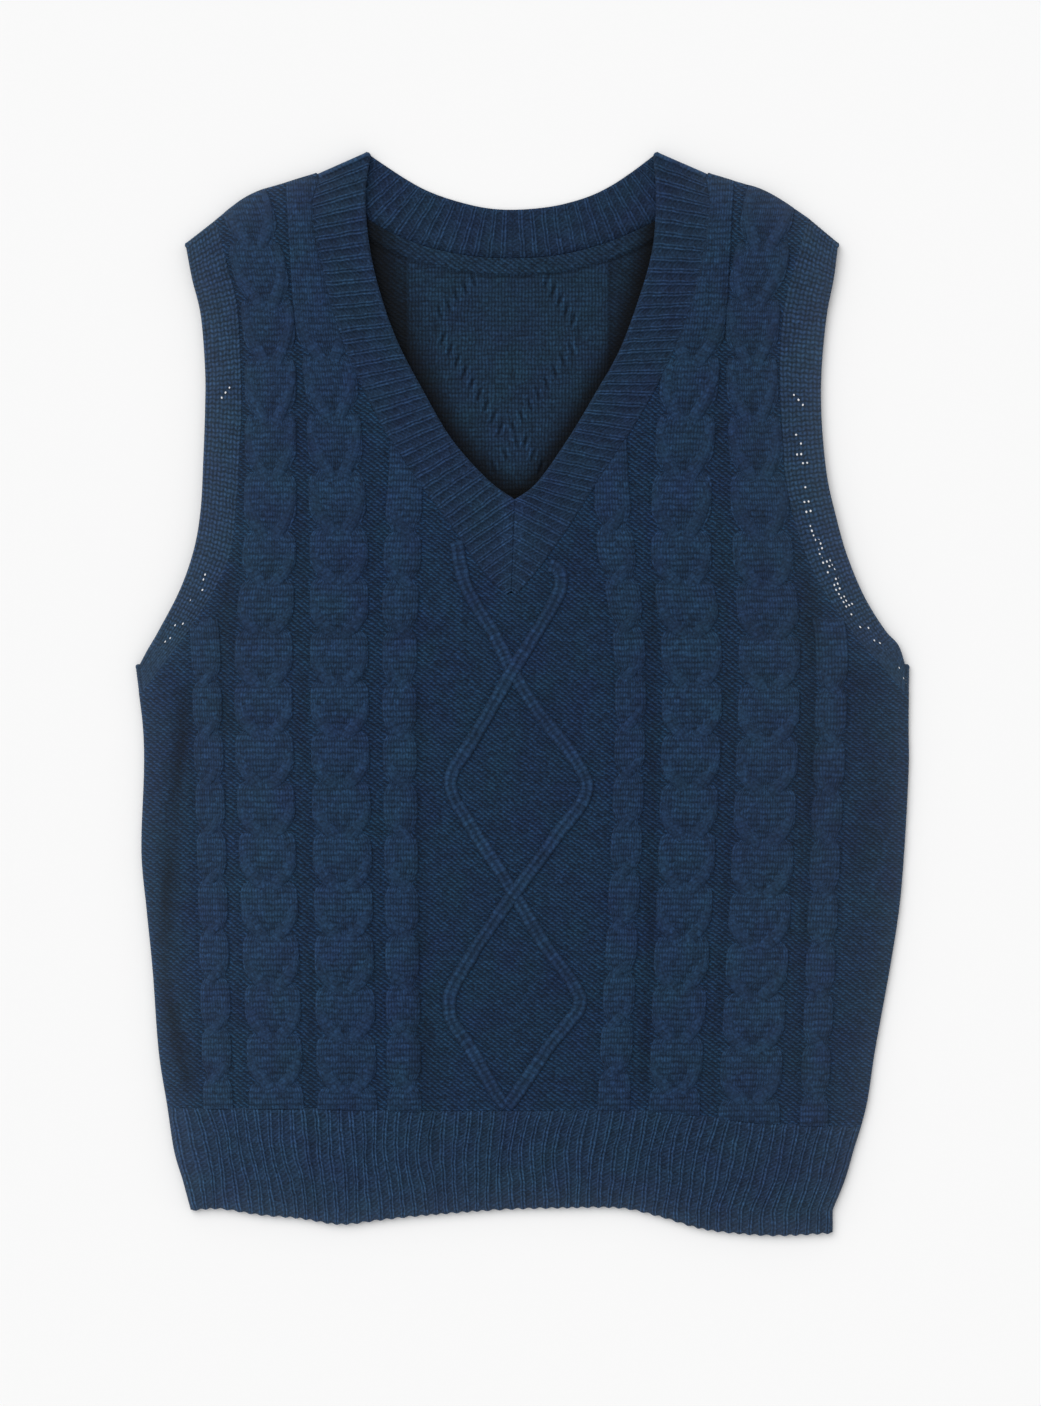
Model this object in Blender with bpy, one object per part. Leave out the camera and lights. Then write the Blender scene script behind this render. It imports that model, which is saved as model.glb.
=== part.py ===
"""Cable-knit V-neck vest, laid flat with its front side up.

Metres, +Z up. The neck is towards +Y. Left and right are as seen from above: left is
towards -X, the wearer's right side.
The origin is under the middle of the vest, at the level that its back rests on.
All sizes below are in millimetres and are turned to metres as a mesh is made.

Two layers of knit lie on each other: the back, flat underneath, and the front on top.
Each is a wall with a plain inside. Cables, lattice and ribs stand up from the outside.
"""

import math

import bmesh
import bpy
from mathutils import Vector
from mathutils.geometry import delaunay_2d_cdt

MM = 0.001

# ---------------------------------------------------------------- driving sizes, in mm
WALL = 2.5              # one layer of plain knit
LAYER_GAP = 0.4         # between the two layers
SEAM_GAP = 0.3          # between pieces that are linked together
MIDDLE = WALL + LAYER_GAP / 2       # height of the plane between the layers
FOLD_OUTSIDE = MIDDLE               # radius of a fold, outside and inside
FOLD_INSIDE = LAYER_GAP / 2

BAND_RIB = 0.9          # how far the neckband's ribs stand up
BAND_RIB_PITCH = 7.0    # one rib: a knit stitch and a purl stitch
HEM_RIB = 1.0
HEM_RIBS = 59           # across the front
HEM_WIDTH = 385.0       # of the vest across the hem rib, on average
HEM_DEPTH = 64.0
EDGE_ROUND = 2.0        # width of the rounding along a finished edge
WIDEST_ROUND = 0.45     # share of a band that its rounding may take, where it tapers
THINNEST = 0.5          # of the wall, at the line of a fold
THINNEST_EDGE = 0.25    # share of the wall left at the hem's edges

LOWER_CROSSING = -230.0     # height of the lowest crossing of the cables
LOWER_REPEAT = 29.4         # from one crossing to the next, below the V
LOWER_REPEATS = 11
UPPER_REPEAT = 34.3         # the same beside the V, where the knit is stretched
UPPER_REPEATS = 7

OUTLINE_STEP = 14.0     # between points along a plain outline
SHOULDER_STEP = 6.0
FOLD_STEPS = (0.0, 0.7, WALL)       # distances from a side fold that round it off
CLEAR_OF_OUTLINE = 1.4  # no relief point is nearer to an outline than this
CLEAR_OF_CORNER = 3.0   # no point of a side fold is nearer to its ends than this
CLEAR_OF_FOLD = 0.4
WELD = 0.02             # nearer points than this become one
SECTIONS_PER_RIB = 3    # of the neckband: its valley and both sides of its crest
ARMHOLE_SECTIONS = 22   # of an armhole band, from the underarm to the shoulder
RIDGE_SECTIONS = 14     # of a lattice line or trough
HEM_CELLS = 200         # across the hem, for reading its two long edges
BACK_HEM_SECTIONS = 24
SHARPEST = math.radians(35)         # sharper edges than this are shaded sharp

ON_TOP = math.pi / 2    # how far a layer is turned about a fold: on the front,
UNDER = -math.pi / 2    # on the back, and between them
FOLD_TURNS = [math.radians(angle) for angle in (45, 0, -45)]

# ---------------------------------------------------------------- outline
# Side folds, hem to underarm: height, left side, right side.
SIDES = (
    (-299.0, -192.0, 180.0),
    (-282.0, -196.5, 187.0),
    (-265.0, -201.5, 192.0),
    (-239.0, -205.5, 199.5),
    (-207.0, -210.5, 204.5),
    (-160.0, -214.0, 213.0),
    (-125.0, -217.5, 218.5),
    (-91.0, -220.5, 221.5),
    (-45.0, -219.0, 224.0),
    (-21.0, -219.5, 224.0),
    (1.0, -222.0, 224.2),
    (17.0, -224.0, 224.5),
)

# Lower edge of the hem, left to right: across, height.
HEM_EDGE = (
    (-192.0, -299.5), (-175.0, -298.5), (-152.0, -302.0), (-129.0, -304.0),
    (-105.5, -307.5), (-82.5, -305.0), (-59.0, -302.5), (-13.0, -299.0),
    (22.0, -298.0), (57.0, -298.0), (80.0, -303.0), (103.0, -310.0),
    (126.5, -313.0), (149.5, -314.0), (179.5, -312.5),
)

# Top of the hem rib, left to right: across, height.
HEM_TOP = (
    (-205.6, -238.0), (-129.0, -237.0), (-59.0, -239.0), (0.0, -239.0),
    (68.5, -238.0), (138.0, -246.0), (196.8, -249.5),
)

# Armhole bands, underarm to shoulder: outer edge across and height, seam across and height.
LEFT_ARMHOLE = (
    (-224.0, 17.0, -222.0, 1.0),
    (-217.0, 25.0, -207.0, 17.0),
    (-210.0, 37.0, -197.0, 30.0),
    (-198.0, 60.0, -182.0, 52.0),
    (-190.0, 83.0, -170.0, 76.0),
    (-186.0, 106.5, -165.5, 101.0),
    (-184.5, 135.5, -163.5, 132.0),
    (-183.5, 164.5, -162.0, 163.0),
    (-183.5, 187.5, -162.5, 190.5),
    (-186.0, 219.0, -164.5, 224.0),
    (-191.0, 240.0, -170.5, 249.0),
    (-196.0, 260.0, -178.0, 274.0),
)
RIGHT_ARMHOLE = (
    (224.5, 17.0, 224.2, 0.0),
    (218.0, 28.0, 208.0, 16.0),
    (210.0, 37.0, 197.0, 28.0),
    (198.0, 56.5, 181.5, 48.0),
    (188.0, 80.5, 167.0, 73.0),
    (181.5, 103.5, 158.0, 98.0),
    (176.5, 126.5, 152.5, 123.0),
    (173.5, 158.5, 150.0, 157.0),
    (173.5, 187.5, 149.0, 190.0),
    (176.5, 219.0, 151.5, 223.0),
    (180.5, 240.0, 158.0, 249.0),
    (184.5, 260.0, 166.5, 275.0),
)

# Shoulder folds, neckband to armhole band: across, height.
LEFT_SHOULDER = ((-119.5, 301.5), (-140.5, 295.0), (-152.0, 291.5), (-163.5, 285.5), (-178.0, 274.0))
RIGHT_SHOULDER = ((108.5, 301.5), (126.5, 296.0), (138.0, 292.5), (149.5, 286.5), (166.5, 275.0))

# Neckband, shoulder to V point: seam across and height, free edge across and height.
LEFT_NECK = (
    (-119.5, 301.5, -89.0, 315.0),
    (-122.5, 281.0, -90.5, 290.0),
    (-120.0, 260.0, -89.0, 265.0),
    (-114.0, 236.0, -84.0, 239.0),
    (-104.0, 202.0, -73.0, 206.0),
    (-87.0, 166.0, -57.0, 175.0),
    (-68.0, 133.0, -40.5, 147.0),
    (-46.5, 104.5, -20.0, 124.0),
    (-36.0, 90.0, -4.3, 112.0),
)
RIGHT_NECK = (
    (108.5, 301.5, 77.5, 315.0),
    (109.5, 281.0, 77.5, 288.0),
    (106.5, 258.0, 76.0, 261.0),
    (102.0, 236.0, 70.0, 236.0),
    (90.0, 202.0, 57.0, 200.0),
    (75.0, 172.0, 42.0, 173.0),
    (57.0, 142.0, 27.0, 148.0),
    (39.0, 115.0, 9.0, 122.5),
    (27.0, 96.0, -4.0, 112.0),
)
# The slanted ends of the band, joined in a mitre below the V point.
LEFT_MITRE = ((-36.0, 90.0, -4.3, 112.0), (-22.0, 70.0, -5.5, 82.0), (-9.0, 57.5, -6.2, 59.5))
RIGHT_MITRE = ((27.0, 96.0, -4.0, 112.0), (10.0, 72.5, -5.2, 82.0), (-3.5, 57.0, -5.9, 59.5))

BELOW_MITRE = (-6.0, 54.6)

# Neckband across the back, left shoulder to right shoulder, in the same columns.
BACK_NECK = (
    (-119.5, 301.5, -89.0, 315.0),
    (-105.5, 286.5, -80.0, 306.5),
    (-91.0, 275.0, -67.0, 298.0),
    (-74.0, 265.5, -55.0, 291.5),
    (-53.0, 257.5, -40.0, 286.0),
    (-27.0, 252.5, -21.0, 281.5),
    (-2.0, 251.5, -3.0, 280.5),
    (22.0, 253.5, 18.0, 282.5),
    (46.0, 259.5, 37.0, 287.5),
    (65.0, 267.0, 51.0, 294.0),
    (83.0, 277.0, 64.0, 302.5),
    (108.5, 301.5, 77.5, 315.0),
)

# ---------------------------------------------------------------- cables and lattice
# Cables: kind, then rows of height, middle across, half width.
CABLES = (
    ("wide", ((300, -166, 14), (278, -158, 15), (251, -153, 16), (219, -147, 15.5),
              (175, -145.5, 15), (87, -146, 15.5), (-4, -149.5, 17), (-240, -142, 16))),
    ("wide", ((300, -121, 16), (219, -116, 16), (175, -110, 15.5), (87, -106, 17),
              (-4, -105.5, 17), (-240, -101, 17.5))),
    ("wide", ((300, 107, 16), (219, 102, 16.5), (175, 96.5, 17), (87, 92, 17.5),
              (-4, 98.5, 17.5), (-240, 88, 15))),
    ("wide", ((300, 147, 14), (283, 143, 15), (249, 138, 16), (228, 134, 16),
              (175, 133.5, 15), (87, 139, 17.5), (-4, 143, 18), (-240, 131.5, 18))),
    ("rope down left", ((31, -184, 8.7), (-4, -182, 8.7), (-240, -175.7, 8.7))),
    ("rope down right", ((120, -67.5, 10), (87, -69, 11), (-4, -70.8, 10), (-240, -68, 10))),
    ("rope down left", ((120, 52, 10), (87, 54, 11), (-4, 63, 9), (-240, 53, 9.5))),
    ("rope down right", ((31, 177.5, 9.3), (-4, 179, 9.3), (-240, 169, 8.3))),
)

# Height of a wide cable over one repeat. Columns: how far down the repeat, then the height
# in its middle, half way out, at its shoulder and at its foot.
WIDE_PLACES = (0.0, 0.5, 0.88, 1.0)
WIDE_REPEAT = (
    (0.04, 0.9, 0.8, 0.5, 0.0),
    (0.35, 1.2, 1.3, 1.7, 0.0),
    (0.65, 1.3, 1.6, 2.3, 0.0),
    (0.85, 1.5, 2.4, 1.5, 0.0),
    (0.97, 2.5, 1.9, 0.6, 0.0),
)

# Height of a rope cable over one repeat. Columns: how far down, then the height at the
# foot, shoulder, middle, shoulder and foot, for a strand that crosses down to the right.
ROPE_PLACES = (-1.0, -0.8, 0.0, 0.8, 1.0)
ROPE_REPEAT = (
    (0.0, 0.0, 0.7, 2.1, 0.9, 0.0),
    (0.14, 0.0, 0.5, 1.3, 1.9, 0.0),
    (0.5, 0.0, 1.5, 1.6, 1.5, 0.0),
    (0.88, 0.0, 1.9, 1.2, 0.8, 0.0),
)

# Two crossing strands of the lattice and two soft troughs: rise, half width, middle line.
RIDGES = (
    (1.3, 2.6, ((-36, 71), (-6, 8), (40.5, -47), (-5, -114), (-43.5, -178), (-13, -234))),
    (1.3, 2.6, ((20, 69), (-6, 8), (-43.5, -47), (-5, -114), (35.5, -178), (-13, -234))),
    (-0.9, 7.0, ((-199, -20), (-203, -60), (-204, -120), (-199, -170), (-196, -205))),
    (-0.8, 6.0, ((197, -20), (198, -70), (196, -130), (190, -185))),
)

# One hem rib: how far across its pitch, then its share of the rib's height.
HEM_RIB_PROFILE = ((0.06, 0.0), (0.26, 1.0), (0.74, 1.0), (0.94, 0.0))
# Share of the hem rib's depth, from its top to its lower edge, at each row of points.
HEM_DOWN = (0.0, 0.5, 1.0 - EDGE_ROUND / HEM_DEPTH, 1.0)

COLLECTION = "cable_knit_vest"

# Materials: colour as linear red, green and blue. All are dyed knitted yarn.
NAVY = (0.019, 0.043, 0.087)
NAVY_BAND = (0.017, 0.039, 0.077)
NAVY_HEM = (0.021, 0.046, 0.092)
YARN_ROUGHNESS = 0.92


# ---------------------------------------------------------------- lines
def smooth_rows(rows, per_span=8):
    """Rows of numbers joined by a smooth curve through every row."""
    rows = [tuple(float(v) for v in row) for row in rows]
    padded = [rows[0]] + rows + [rows[-1]]
    out = []
    for before, start, end, after in zip(padded, padded[1:], padded[2:], padded[3:]):
        for step in range(per_span):
            t = step / per_span
            out.append(tuple(
                (2 * b + (c - a) * t + (2 * a - 5 * b + 4 * c - d) * t ** 2
                 + (3 * b - a - 3 * c + d) * t ** 3) / 2
                for a, b, c, d in zip(before, start, end, after)))
    out.append(rows[-1])
    return out


def spaced_rows(rows, count):
    """The given line of rows again, as count + 1 rows at even steps along it."""
    lengths = [0.0]
    for row, following in zip(rows, rows[1:]):
        lengths.append(lengths[-1] + math.dist(row, following))
    out = []
    span = 0
    for step in range(count + 1):
        target = lengths[-1] * step / count
        while span < len(rows) - 2 and lengths[span + 1] < target:
            span += 1
        part = (target - lengths[span]) / (lengths[span + 1] - lengths[span])
        out.append(tuple(a + (b - a) * part for a, b in zip(rows[span], rows[span + 1])))
    return out


def line_length(line):
    return sum(math.dist(a, b) for a, b in zip(line, line[1:]))


def even_line(points, step=OUTLINE_STEP):
    """A smooth line through the points, with a point about every step."""
    smooth = smooth_rows(points)
    return spaced_rows(smooth, max(1, round(line_length(smooth) / step)))


def value_at(rows, height):
    """Read rows of (height, value, ...), sorted by height, at one height."""
    rows = sorted(rows)
    height = min(max(height, rows[0][0]), rows[-1][0])
    for low, high in zip(rows, rows[1:]):
        if height <= high[0]:
            part = (height - low[0]) / (high[0] - low[0])
            return tuple(a + (b - a) * part for a, b in zip(low[1:], high[1:]))
    return rows[-1][1:]


def to_line(point, line):
    """Distance from a point to a line of straight pieces."""
    best = math.inf
    for a, b in zip(line, line[1:]):
        run = (b[0] - a[0], b[1] - a[1])
        size = run[0] ** 2 + run[1] ** 2
        t = ((point[0] - a[0]) * run[0] + (point[1] - a[1]) * run[1]) / size if size else 0.0
        t = min(max(t, 0.0), 1.0)
        best = min(best, math.hypot(point[0] - a[0] - run[0] * t, point[1] - a[1] - run[1] * t))
    return best


def shifted_line(line, distance):
    """The line moved sideways, to its left for a positive distance."""
    out = []
    for index, point in enumerate(line):
        a = line[max(index - 1, 0)]
        b = line[min(index + 1, len(line) - 1)]
        size = math.dist(a, b)
        out.append((point[0] - (b[1] - a[1]) / size * distance,
                    point[1] + (b[0] - a[0]) / size * distance))
    return out


def inside(point, outline):
    """Whether a point lies inside a closed outline."""
    x, y = point
    hit = False
    for a, b in zip(outline, outline[1:] + outline[:1]):
        if (a[1] > y) != (b[1] > y) and x < (b[0] - a[0]) * (y - a[1]) / (b[1] - a[1]) + a[0]:
            hit = not hit
    return hit


def beyond(rows, gap=SEAM_GAP):
    """Points just past the seam side of a band's rows, where the panel's edge lies."""
    out = []
    for seam_x, seam_y, edge_x, edge_y in rows:
        size = math.dist((seam_x, seam_y), (edge_x, edge_y))
        out.append((seam_x + (seam_x - edge_x) / size * gap,
                    seam_y + (seam_y - edge_y) / size * gap))
    return out


def seam_first(rows):
    """Armhole rows with the seam's two columns first, as the neckband's rows have them."""
    return tuple(row[2:] + row[:2] for row in rows)


def across_direction(row):
    """Unit direction square to a row, pointing up and away from the vest."""
    size = math.dist(row[:2], row[2:])
    square = ((row[1] - row[3]) / size, (row[2] - row[0]) / size)
    return square if square[1] > 0 else (-square[0], -square[1])


LEFT_OUT = across_direction(LEFT_NECK[0])
RIGHT_OUT = across_direction(RIGHT_NECK[0])
SIDE_LEFT = [(left, height) for height, left, right in SIDES]
SIDE_RIGHT = [(right, height) for height, left, right in SIDES]
FOLDS = [even_line(SIDE_LEFT), even_line(SIDE_RIGHT)]
FOLDS += [even_line(LEFT_SHOULDER, SHOULDER_STEP), even_line(RIGHT_SHOULDER, SHOULDER_STEP)]
INWARD = (-1.0, 1.0, 1.0, -1.0)     # side of each fold on which the vest lies


def side_at(height):
    return value_at(SIDES, height)


# ---------------------------------------------------------------- relief of the front
def crossings():
    """Heights at which the strands of the cables cross, from the hem up."""
    heights = [LOWER_CROSSING - LOWER_REPEAT]
    heights += [LOWER_CROSSING + LOWER_REPEAT * n for n in range(LOWER_REPEATS + 1)]
    heights += [heights[-1] + UPPER_REPEAT * n for n in range(1, UPPER_REPEATS)]
    return heights


CROSSINGS = crossings()


def repeat_at(height):
    """How far down its repeat a height lies, 0 just under a crossing to 1 at the next."""
    for low, high in zip(CROSSINGS, CROSSINGS[1:]):
        if height < high:
            return (high - height) / (high - low)
    return 0.0


def read_table(table, places, down, across):
    """Height from a repeat's table, which starts again after its last row."""
    rows = [(row[0] + whole,) + row[1:] for whole in (-1.0, 0.0, 1.0) for row in table]
    heights = value_at(rows, down)
    return value_at(list(zip(places, heights)), across)[0]


def cable_half(half, down):
    """Half width of a cable, drawn in a little at each crossing."""
    return half * (0.94 + 0.06 * math.sin(math.pi * down))


def cable_height(kind, across, down):
    if kind == "wide":
        return read_table(WIDE_REPEAT, WIDE_PLACES, down, abs(across))
    mirrored = -across if kind == "rope down left" else across
    return read_table(ROPE_REPEAT, ROPE_PLACES, down, mirrored)


def relief(x, y):
    """How far the outside of the front stands above plain knit at a place."""
    rise = 0.0
    down = repeat_at(y)
    for kind, rows in CABLES:
        if not rows[-1][0] <= y <= rows[0][0]:
            continue
        middle, half = value_at(rows, y)
        across = (x - middle) / cable_half(half, down)
        if abs(across) < 1.0:
            rise = max(rise, cable_height(kind, across, down))
    for top, half, line in RIDGES:
        away = to_line((x, y), line) / half
        if away < 1.0 and rise == 0.0:
            rise = top * (1.0 - away)
    return rise


def rounding(x, y):
    """Thickness of plain knit at a place, which falls away round the folds."""
    near = min(to_line((x, y), fold) for fold in FOLDS)
    if near >= WALL:
        return WALL
    return max(THINNEST, math.sqrt(WALL ** 2 - (WALL - near) ** 2))


def relief_points(outline):
    """Points that carry the cables' form, where they lie well inside the outline."""
    points = []
    for kind, rows in CABLES:
        table, places = ROPE_REPEAT, ROPE_PLACES
        if kind == "wide":
            table = WIDE_REPEAT
            places = [-place for place in WIDE_PLACES[:0:-1]] + list(WIDE_PLACES)
        for low, high in zip(CROSSINGS, CROSSINGS[1:]):
            for down in [row[0] for row in table]:
                y = high - (high - low) * down
                if not rows[-1][0] <= y <= rows[0][0]:
                    continue
                middle, half = value_at(rows, y)
                points += [(middle + cable_half(half, down) * place, y) for place in places]
    closed = outline + outline[:1]
    return [p for p in points if inside(p, outline) and to_line(p, closed) > CLEAR_OF_OUTLINE]


def ridge_lines():
    """Middle and both feet of each lattice line and trough."""
    lines = []
    for top, half, line in RIDGES:
        for offset in (-half, 0.0, half):
            lines.append(shifted_line(spaced_rows(line, RIDGE_SECTIONS), offset))
    return lines


# ---------------------------------------------------------------- solids
def material(name, colour):
    made = bpy.data.materials.new(name)
    made.use_nodes = True
    shader = made.node_tree.nodes["Principled BSDF"]
    shader.inputs["Base Color"].default_value = (*colour, 1.0)
    shader.inputs["Roughness"].default_value = YARN_ROUGHNESS
    shader.inputs["Metallic"].default_value = 0.0
    made.diffuse_color = (*colour, 1.0)
    return made


def add_object(name, bm, finish, collection):
    bmesh.ops.recalc_face_normals(bm, faces=bm.faces)
    mesh = bpy.data.meshes.new(name)
    bm.to_mesh(mesh)
    bm.free()
    mesh.materials.append(finish)
    mesh.shade_smooth()
    mesh.set_sharp_from_angle(angle=SHARPEST)
    thing = bpy.data.objects.new(name, mesh)
    collection.objects.link(thing)
    return thing


def close_on_plane(bm, level):
    """Drop the boundary of an open relief to a plane, and close it there with one face."""
    edges = [edge for edge in bm.edges if edge.is_boundary]
    links = {}
    for edge in edges:
        loop = edge.link_loops[0]
        links[loop.vert] = loop.link_loop_next.vert
    start = next(iter(links))
    ring = [start]
    while links[ring[-1]] is not start:
        ring.append(links[ring[-1]])
    low = [bm.verts.new((v.co.x, v.co.y, level * MM)) for v in ring]
    for index, vert in enumerate(ring):
        after = (index + 1) % len(ring)
        bm.faces.new((vert, low[index], low[after], ring[after]))
    bm.faces.new(low)


def panel(name, outline, lines, points, thickness, upper, finish, collection):
    """A panel of one layer: its outline, filled by triangles over lines and points.

    thickness(x, y) is measured up from the inside of the upper layer, or down from the
    inside of the lower one.
    """
    coords = [Vector(p) for p in outline]
    edges = [(n, (n + 1) % len(outline)) for n in range(len(outline))]
    for line in lines:
        first = len(coords)
        coords += [Vector(p) for p in line]
        edges += [(first + n, first + n + 1) for n in range(len(line) - 1)]
    coords += [Vector(p) for p in points]
    made, _, faces, _, _, _ = delaunay_2d_cdt(coords, edges, [], 1, WELD)
    level = MIDDLE + FOLD_INSIDE if upper else MIDDLE - FOLD_INSIDE
    side = 1.0 if upper else -1.0
    used = sorted({index for face in faces for index in face})
    bm = bmesh.new()
    verts = {}
    for index in used:
        x, y = made[index]
        verts[index] = bm.verts.new((x * MM, y * MM, (level + side * thickness(x, y)) * MM))
    for face in faces:
        bm.faces.new([verts[index] for index in face])
    close_on_plane(bm, level)
    return add_object(name, bm, finish, collection)


def clipped(lines, outline, margin):
    """The stretches of lines that lie well inside an outline."""
    closed = outline + outline[:1]
    out = []
    for line in lines:
        run = []
        for point in line:
            if inside(point, outline) and to_line(point, closed) > margin:
                run.append(point)
            else:
                out.append(run)
                run = []
        out.append(run)
    return [run for run in out if len(run) > 1]


def fold_insets(outline):
    """Lines a little inside each fold, which round it off."""
    lines = [shifted_line(fold, side * distance)
             for fold, side in zip(FOLDS, INWARD) for distance in FOLD_STEPS[1:]]
    return clipped(lines, outline, CLEAR_OF_FOLD)


def side_part(line, low, high):
    """The points of a side fold between two heights and clear of both."""
    return [p for p in line if low + CLEAR_OF_CORNER < p[1] < high - CLEAR_OF_CORNER]


def hem_top_line(offset):
    """Top of the hem rib, moved up or down by half the seam's gap."""
    line = even_line(HEM_TOP)
    ends = (side_at(line[0][1] + offset)[0], side_at(line[-1][1] + offset)[1])
    moved = [(x, y + offset) for x, y in line]
    moved[0] = (ends[0], moved[0][1])
    moved[-1] = (ends[1], moved[-1][1])
    return moved


def armhole_line(rows, side_out):
    """Edge of a panel along an armhole band, from the side fold to the shoulder fold."""
    silhouette = seam_first(rows)
    return beyond([silhouette[0]] + armhole_rows(rows, side_out) + [silhouette[-1]])


def body_outline(neck):
    """Outline of the front or back above the hem rib, from its lower left corner round."""
    top = hem_top_line(SEAM_GAP / 2)
    left_arm = armhole_line(LEFT_ARMHOLE, (-1.0, 0.0))
    right_arm = armhole_line(RIGHT_ARMHOLE, (1.0, 0.0))
    right_side = side_part(FOLDS[1], top[-1][1], right_arm[0][1])
    left_side = side_part(FOLDS[0], top[0][1], left_arm[0][1])
    outline = top + right_side + right_arm
    outline += FOLDS[3][::-1][1:-1] + neck
    outline += FOLDS[2][1:-1] + left_arm[::-1] + left_side[::-1]
    return outline


def grid_solid(name, rows, level, finish, collection):
    """A strip of one layer from rows of points, closed on its plain inside."""
    bm = bmesh.new()
    verts = [[bm.verts.new((x * MM, y * MM, z * MM)) for x, y, z in row] for row in rows]
    for low, high in zip(verts, verts[1:]):
        for n in range(len(low) - 1):
            bm.faces.new((low[n], low[n + 1], high[n + 1], high[n]))
    close_on_plane(bm, level)
    return add_object(name, bm, finish, collection)


def strip_solid(name, sections, closed, finish, collection):
    """A strip swept through sections of equally many points, an open one with its ends shut."""
    bm = bmesh.new()
    rings = [[bm.verts.new(tuple(c * MM for c in point)) for point in section] for section in sections]
    pairs = list(zip(rings, rings[1:]))
    if closed:
        pairs.append((rings[-1], rings[0]))
    count = len(rings[0])
    for ring, following in pairs:
        for n in range(count):
            after = (n + 1) % count
            bm.faces.new((ring[n], ring[after], following[after], following[n]))
    if not closed:
        bm.faces.new(rings[0][::-1])
        bm.faces.new(rings[-1])
    return add_object(name, bm, finish, collection)


# ---------------------------------------------------------------- bands
def band_section(row, turn, outward, rib_outside=0.0, rib_inside=0.0):
    """One section across a band: over the outside from the seam, round the free edge, back.

    turn is 90 degrees on the front, -90 on the back and between them round a fold, whose
    axis the row gives and whose outside lies towards outward.
    """
    seam = row[:2]
    edge = row[2:]
    rounded = min(EDGE_ROUND / math.dist(seam, edge), WIDEST_ROUND)
    near_edge = tuple(e + (s - e) * rounded for s, e in zip(seam, edge))
    lean = (outward[0] * math.cos(turn), outward[1] * math.cos(turn), math.sin(turn))

    def point(place, radius):
        return (place[0] + lean[0] * radius, place[1] + lean[1] * radius, MIDDLE + lean[2] * radius)

    outer = FOLD_OUTSIDE + rib_outside
    inner = FOLD_INSIDE + rib_inside
    return (point(seam, outer), point(near_edge, outer), point(edge, (outer + inner) / 2),
            point(near_edge, inner), point(seam, inner))


def fold_axis(row, outward, reach):
    """A row on a silhouette, moved in to the axis of the fold there."""
    return (row[0] - outward[0] * reach, row[1] - outward[1] * reach,
            row[2] - outward[0] * reach, row[3] - outward[1] * reach)


def neck_plan():
    """Rows of the neckband: up the left from the mitre, along the back, down the right."""
    reach = FOLD_OUTSIDE + BAND_RIB
    left_axis = fold_axis(LEFT_NECK[0], LEFT_OUT, reach)
    right_axis = fold_axis(RIGHT_NECK[0], RIGHT_OUT, reach)

    def spread(rows):
        smooth = smooth_rows(rows)
        ribs = max(1, round(line_length(smooth) / math.sqrt(2) / BAND_RIB_PITCH))
        return spaced_rows(smooth, ribs * SECTIONS_PER_RIB)

    up_left = spread(LEFT_MITRE)[::-1] + spread((left_axis,) + LEFT_NECK[1:])[::-1][1:]
    back = spread((left_axis,) + BACK_NECK[1:-1] + (right_axis,))
    down_right = spread((right_axis,) + RIGHT_NECK[1:]) + spread(RIGHT_MITRE)[1:]
    return up_left, back, down_right


def neckband(finish, collection):
    """One ribbed strip round the neck, folded at the shoulders, its ends mitred at the V."""
    up_left, back, down_right = neck_plan()
    plan = [(row, ON_TOP, (0.0, 0.0)) for row in up_left]
    plan += [(up_left[-1], turn, LEFT_OUT) for turn in FOLD_TURNS]
    plan += [(row, UNDER, (0.0, 0.0)) for row in back]
    plan += [(back[-1], turn, RIGHT_OUT) for turn in FOLD_TURNS[::-1]]
    plan += [(row, ON_TOP, (0.0, 0.0)) for row in down_right]
    sections = []
    for index, (row, turn, outward) in enumerate(plan):
        valley = index % SECTIONS_PER_RIB == 0
        rise = 0.0 if valley or turn < 0 else BAND_RIB
        sink = BAND_RIB if valley and turn == UNDER else 0.0
        sections.append(band_section(row, turn, outward, rise, sink))
    return strip_solid("neckband", sections, False, finish, collection)


def armhole_rows(rows, side_out):
    """Rows of an armhole band from the axis of its underarm fold to that of its shoulder."""
    rows = seam_first(rows)
    start = fold_axis(rows[0], side_out, FOLD_OUTSIDE)
    end = fold_axis(rows[-1], across_direction(rows[-1]), FOLD_OUTSIDE)
    return spaced_rows(smooth_rows((start,) + rows[1:-1] + (end,)), ARMHOLE_SECTIONS)


def armhole_band(name, rows, side_out, finish, collection):
    """A plain knit ring round an armhole, folded at the shoulder and at the underarm."""
    run = armhole_rows(rows, side_out)
    shoulder_out = across_direction(seam_first(rows)[-1])
    plan = [(row, ON_TOP, (0.0, 0.0)) for row in run]
    plan += [(run[-1], turn, shoulder_out) for turn in FOLD_TURNS]
    plan += [(row, UNDER, (0.0, 0.0)) for row in run[::-1]]
    plan += [(run[0], turn, side_out) for turn in FOLD_TURNS[::-1]]
    sections = [band_section(row, turn, outward) for row, turn, outward in plan]
    return strip_solid(name, sections, True, finish, collection)


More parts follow.
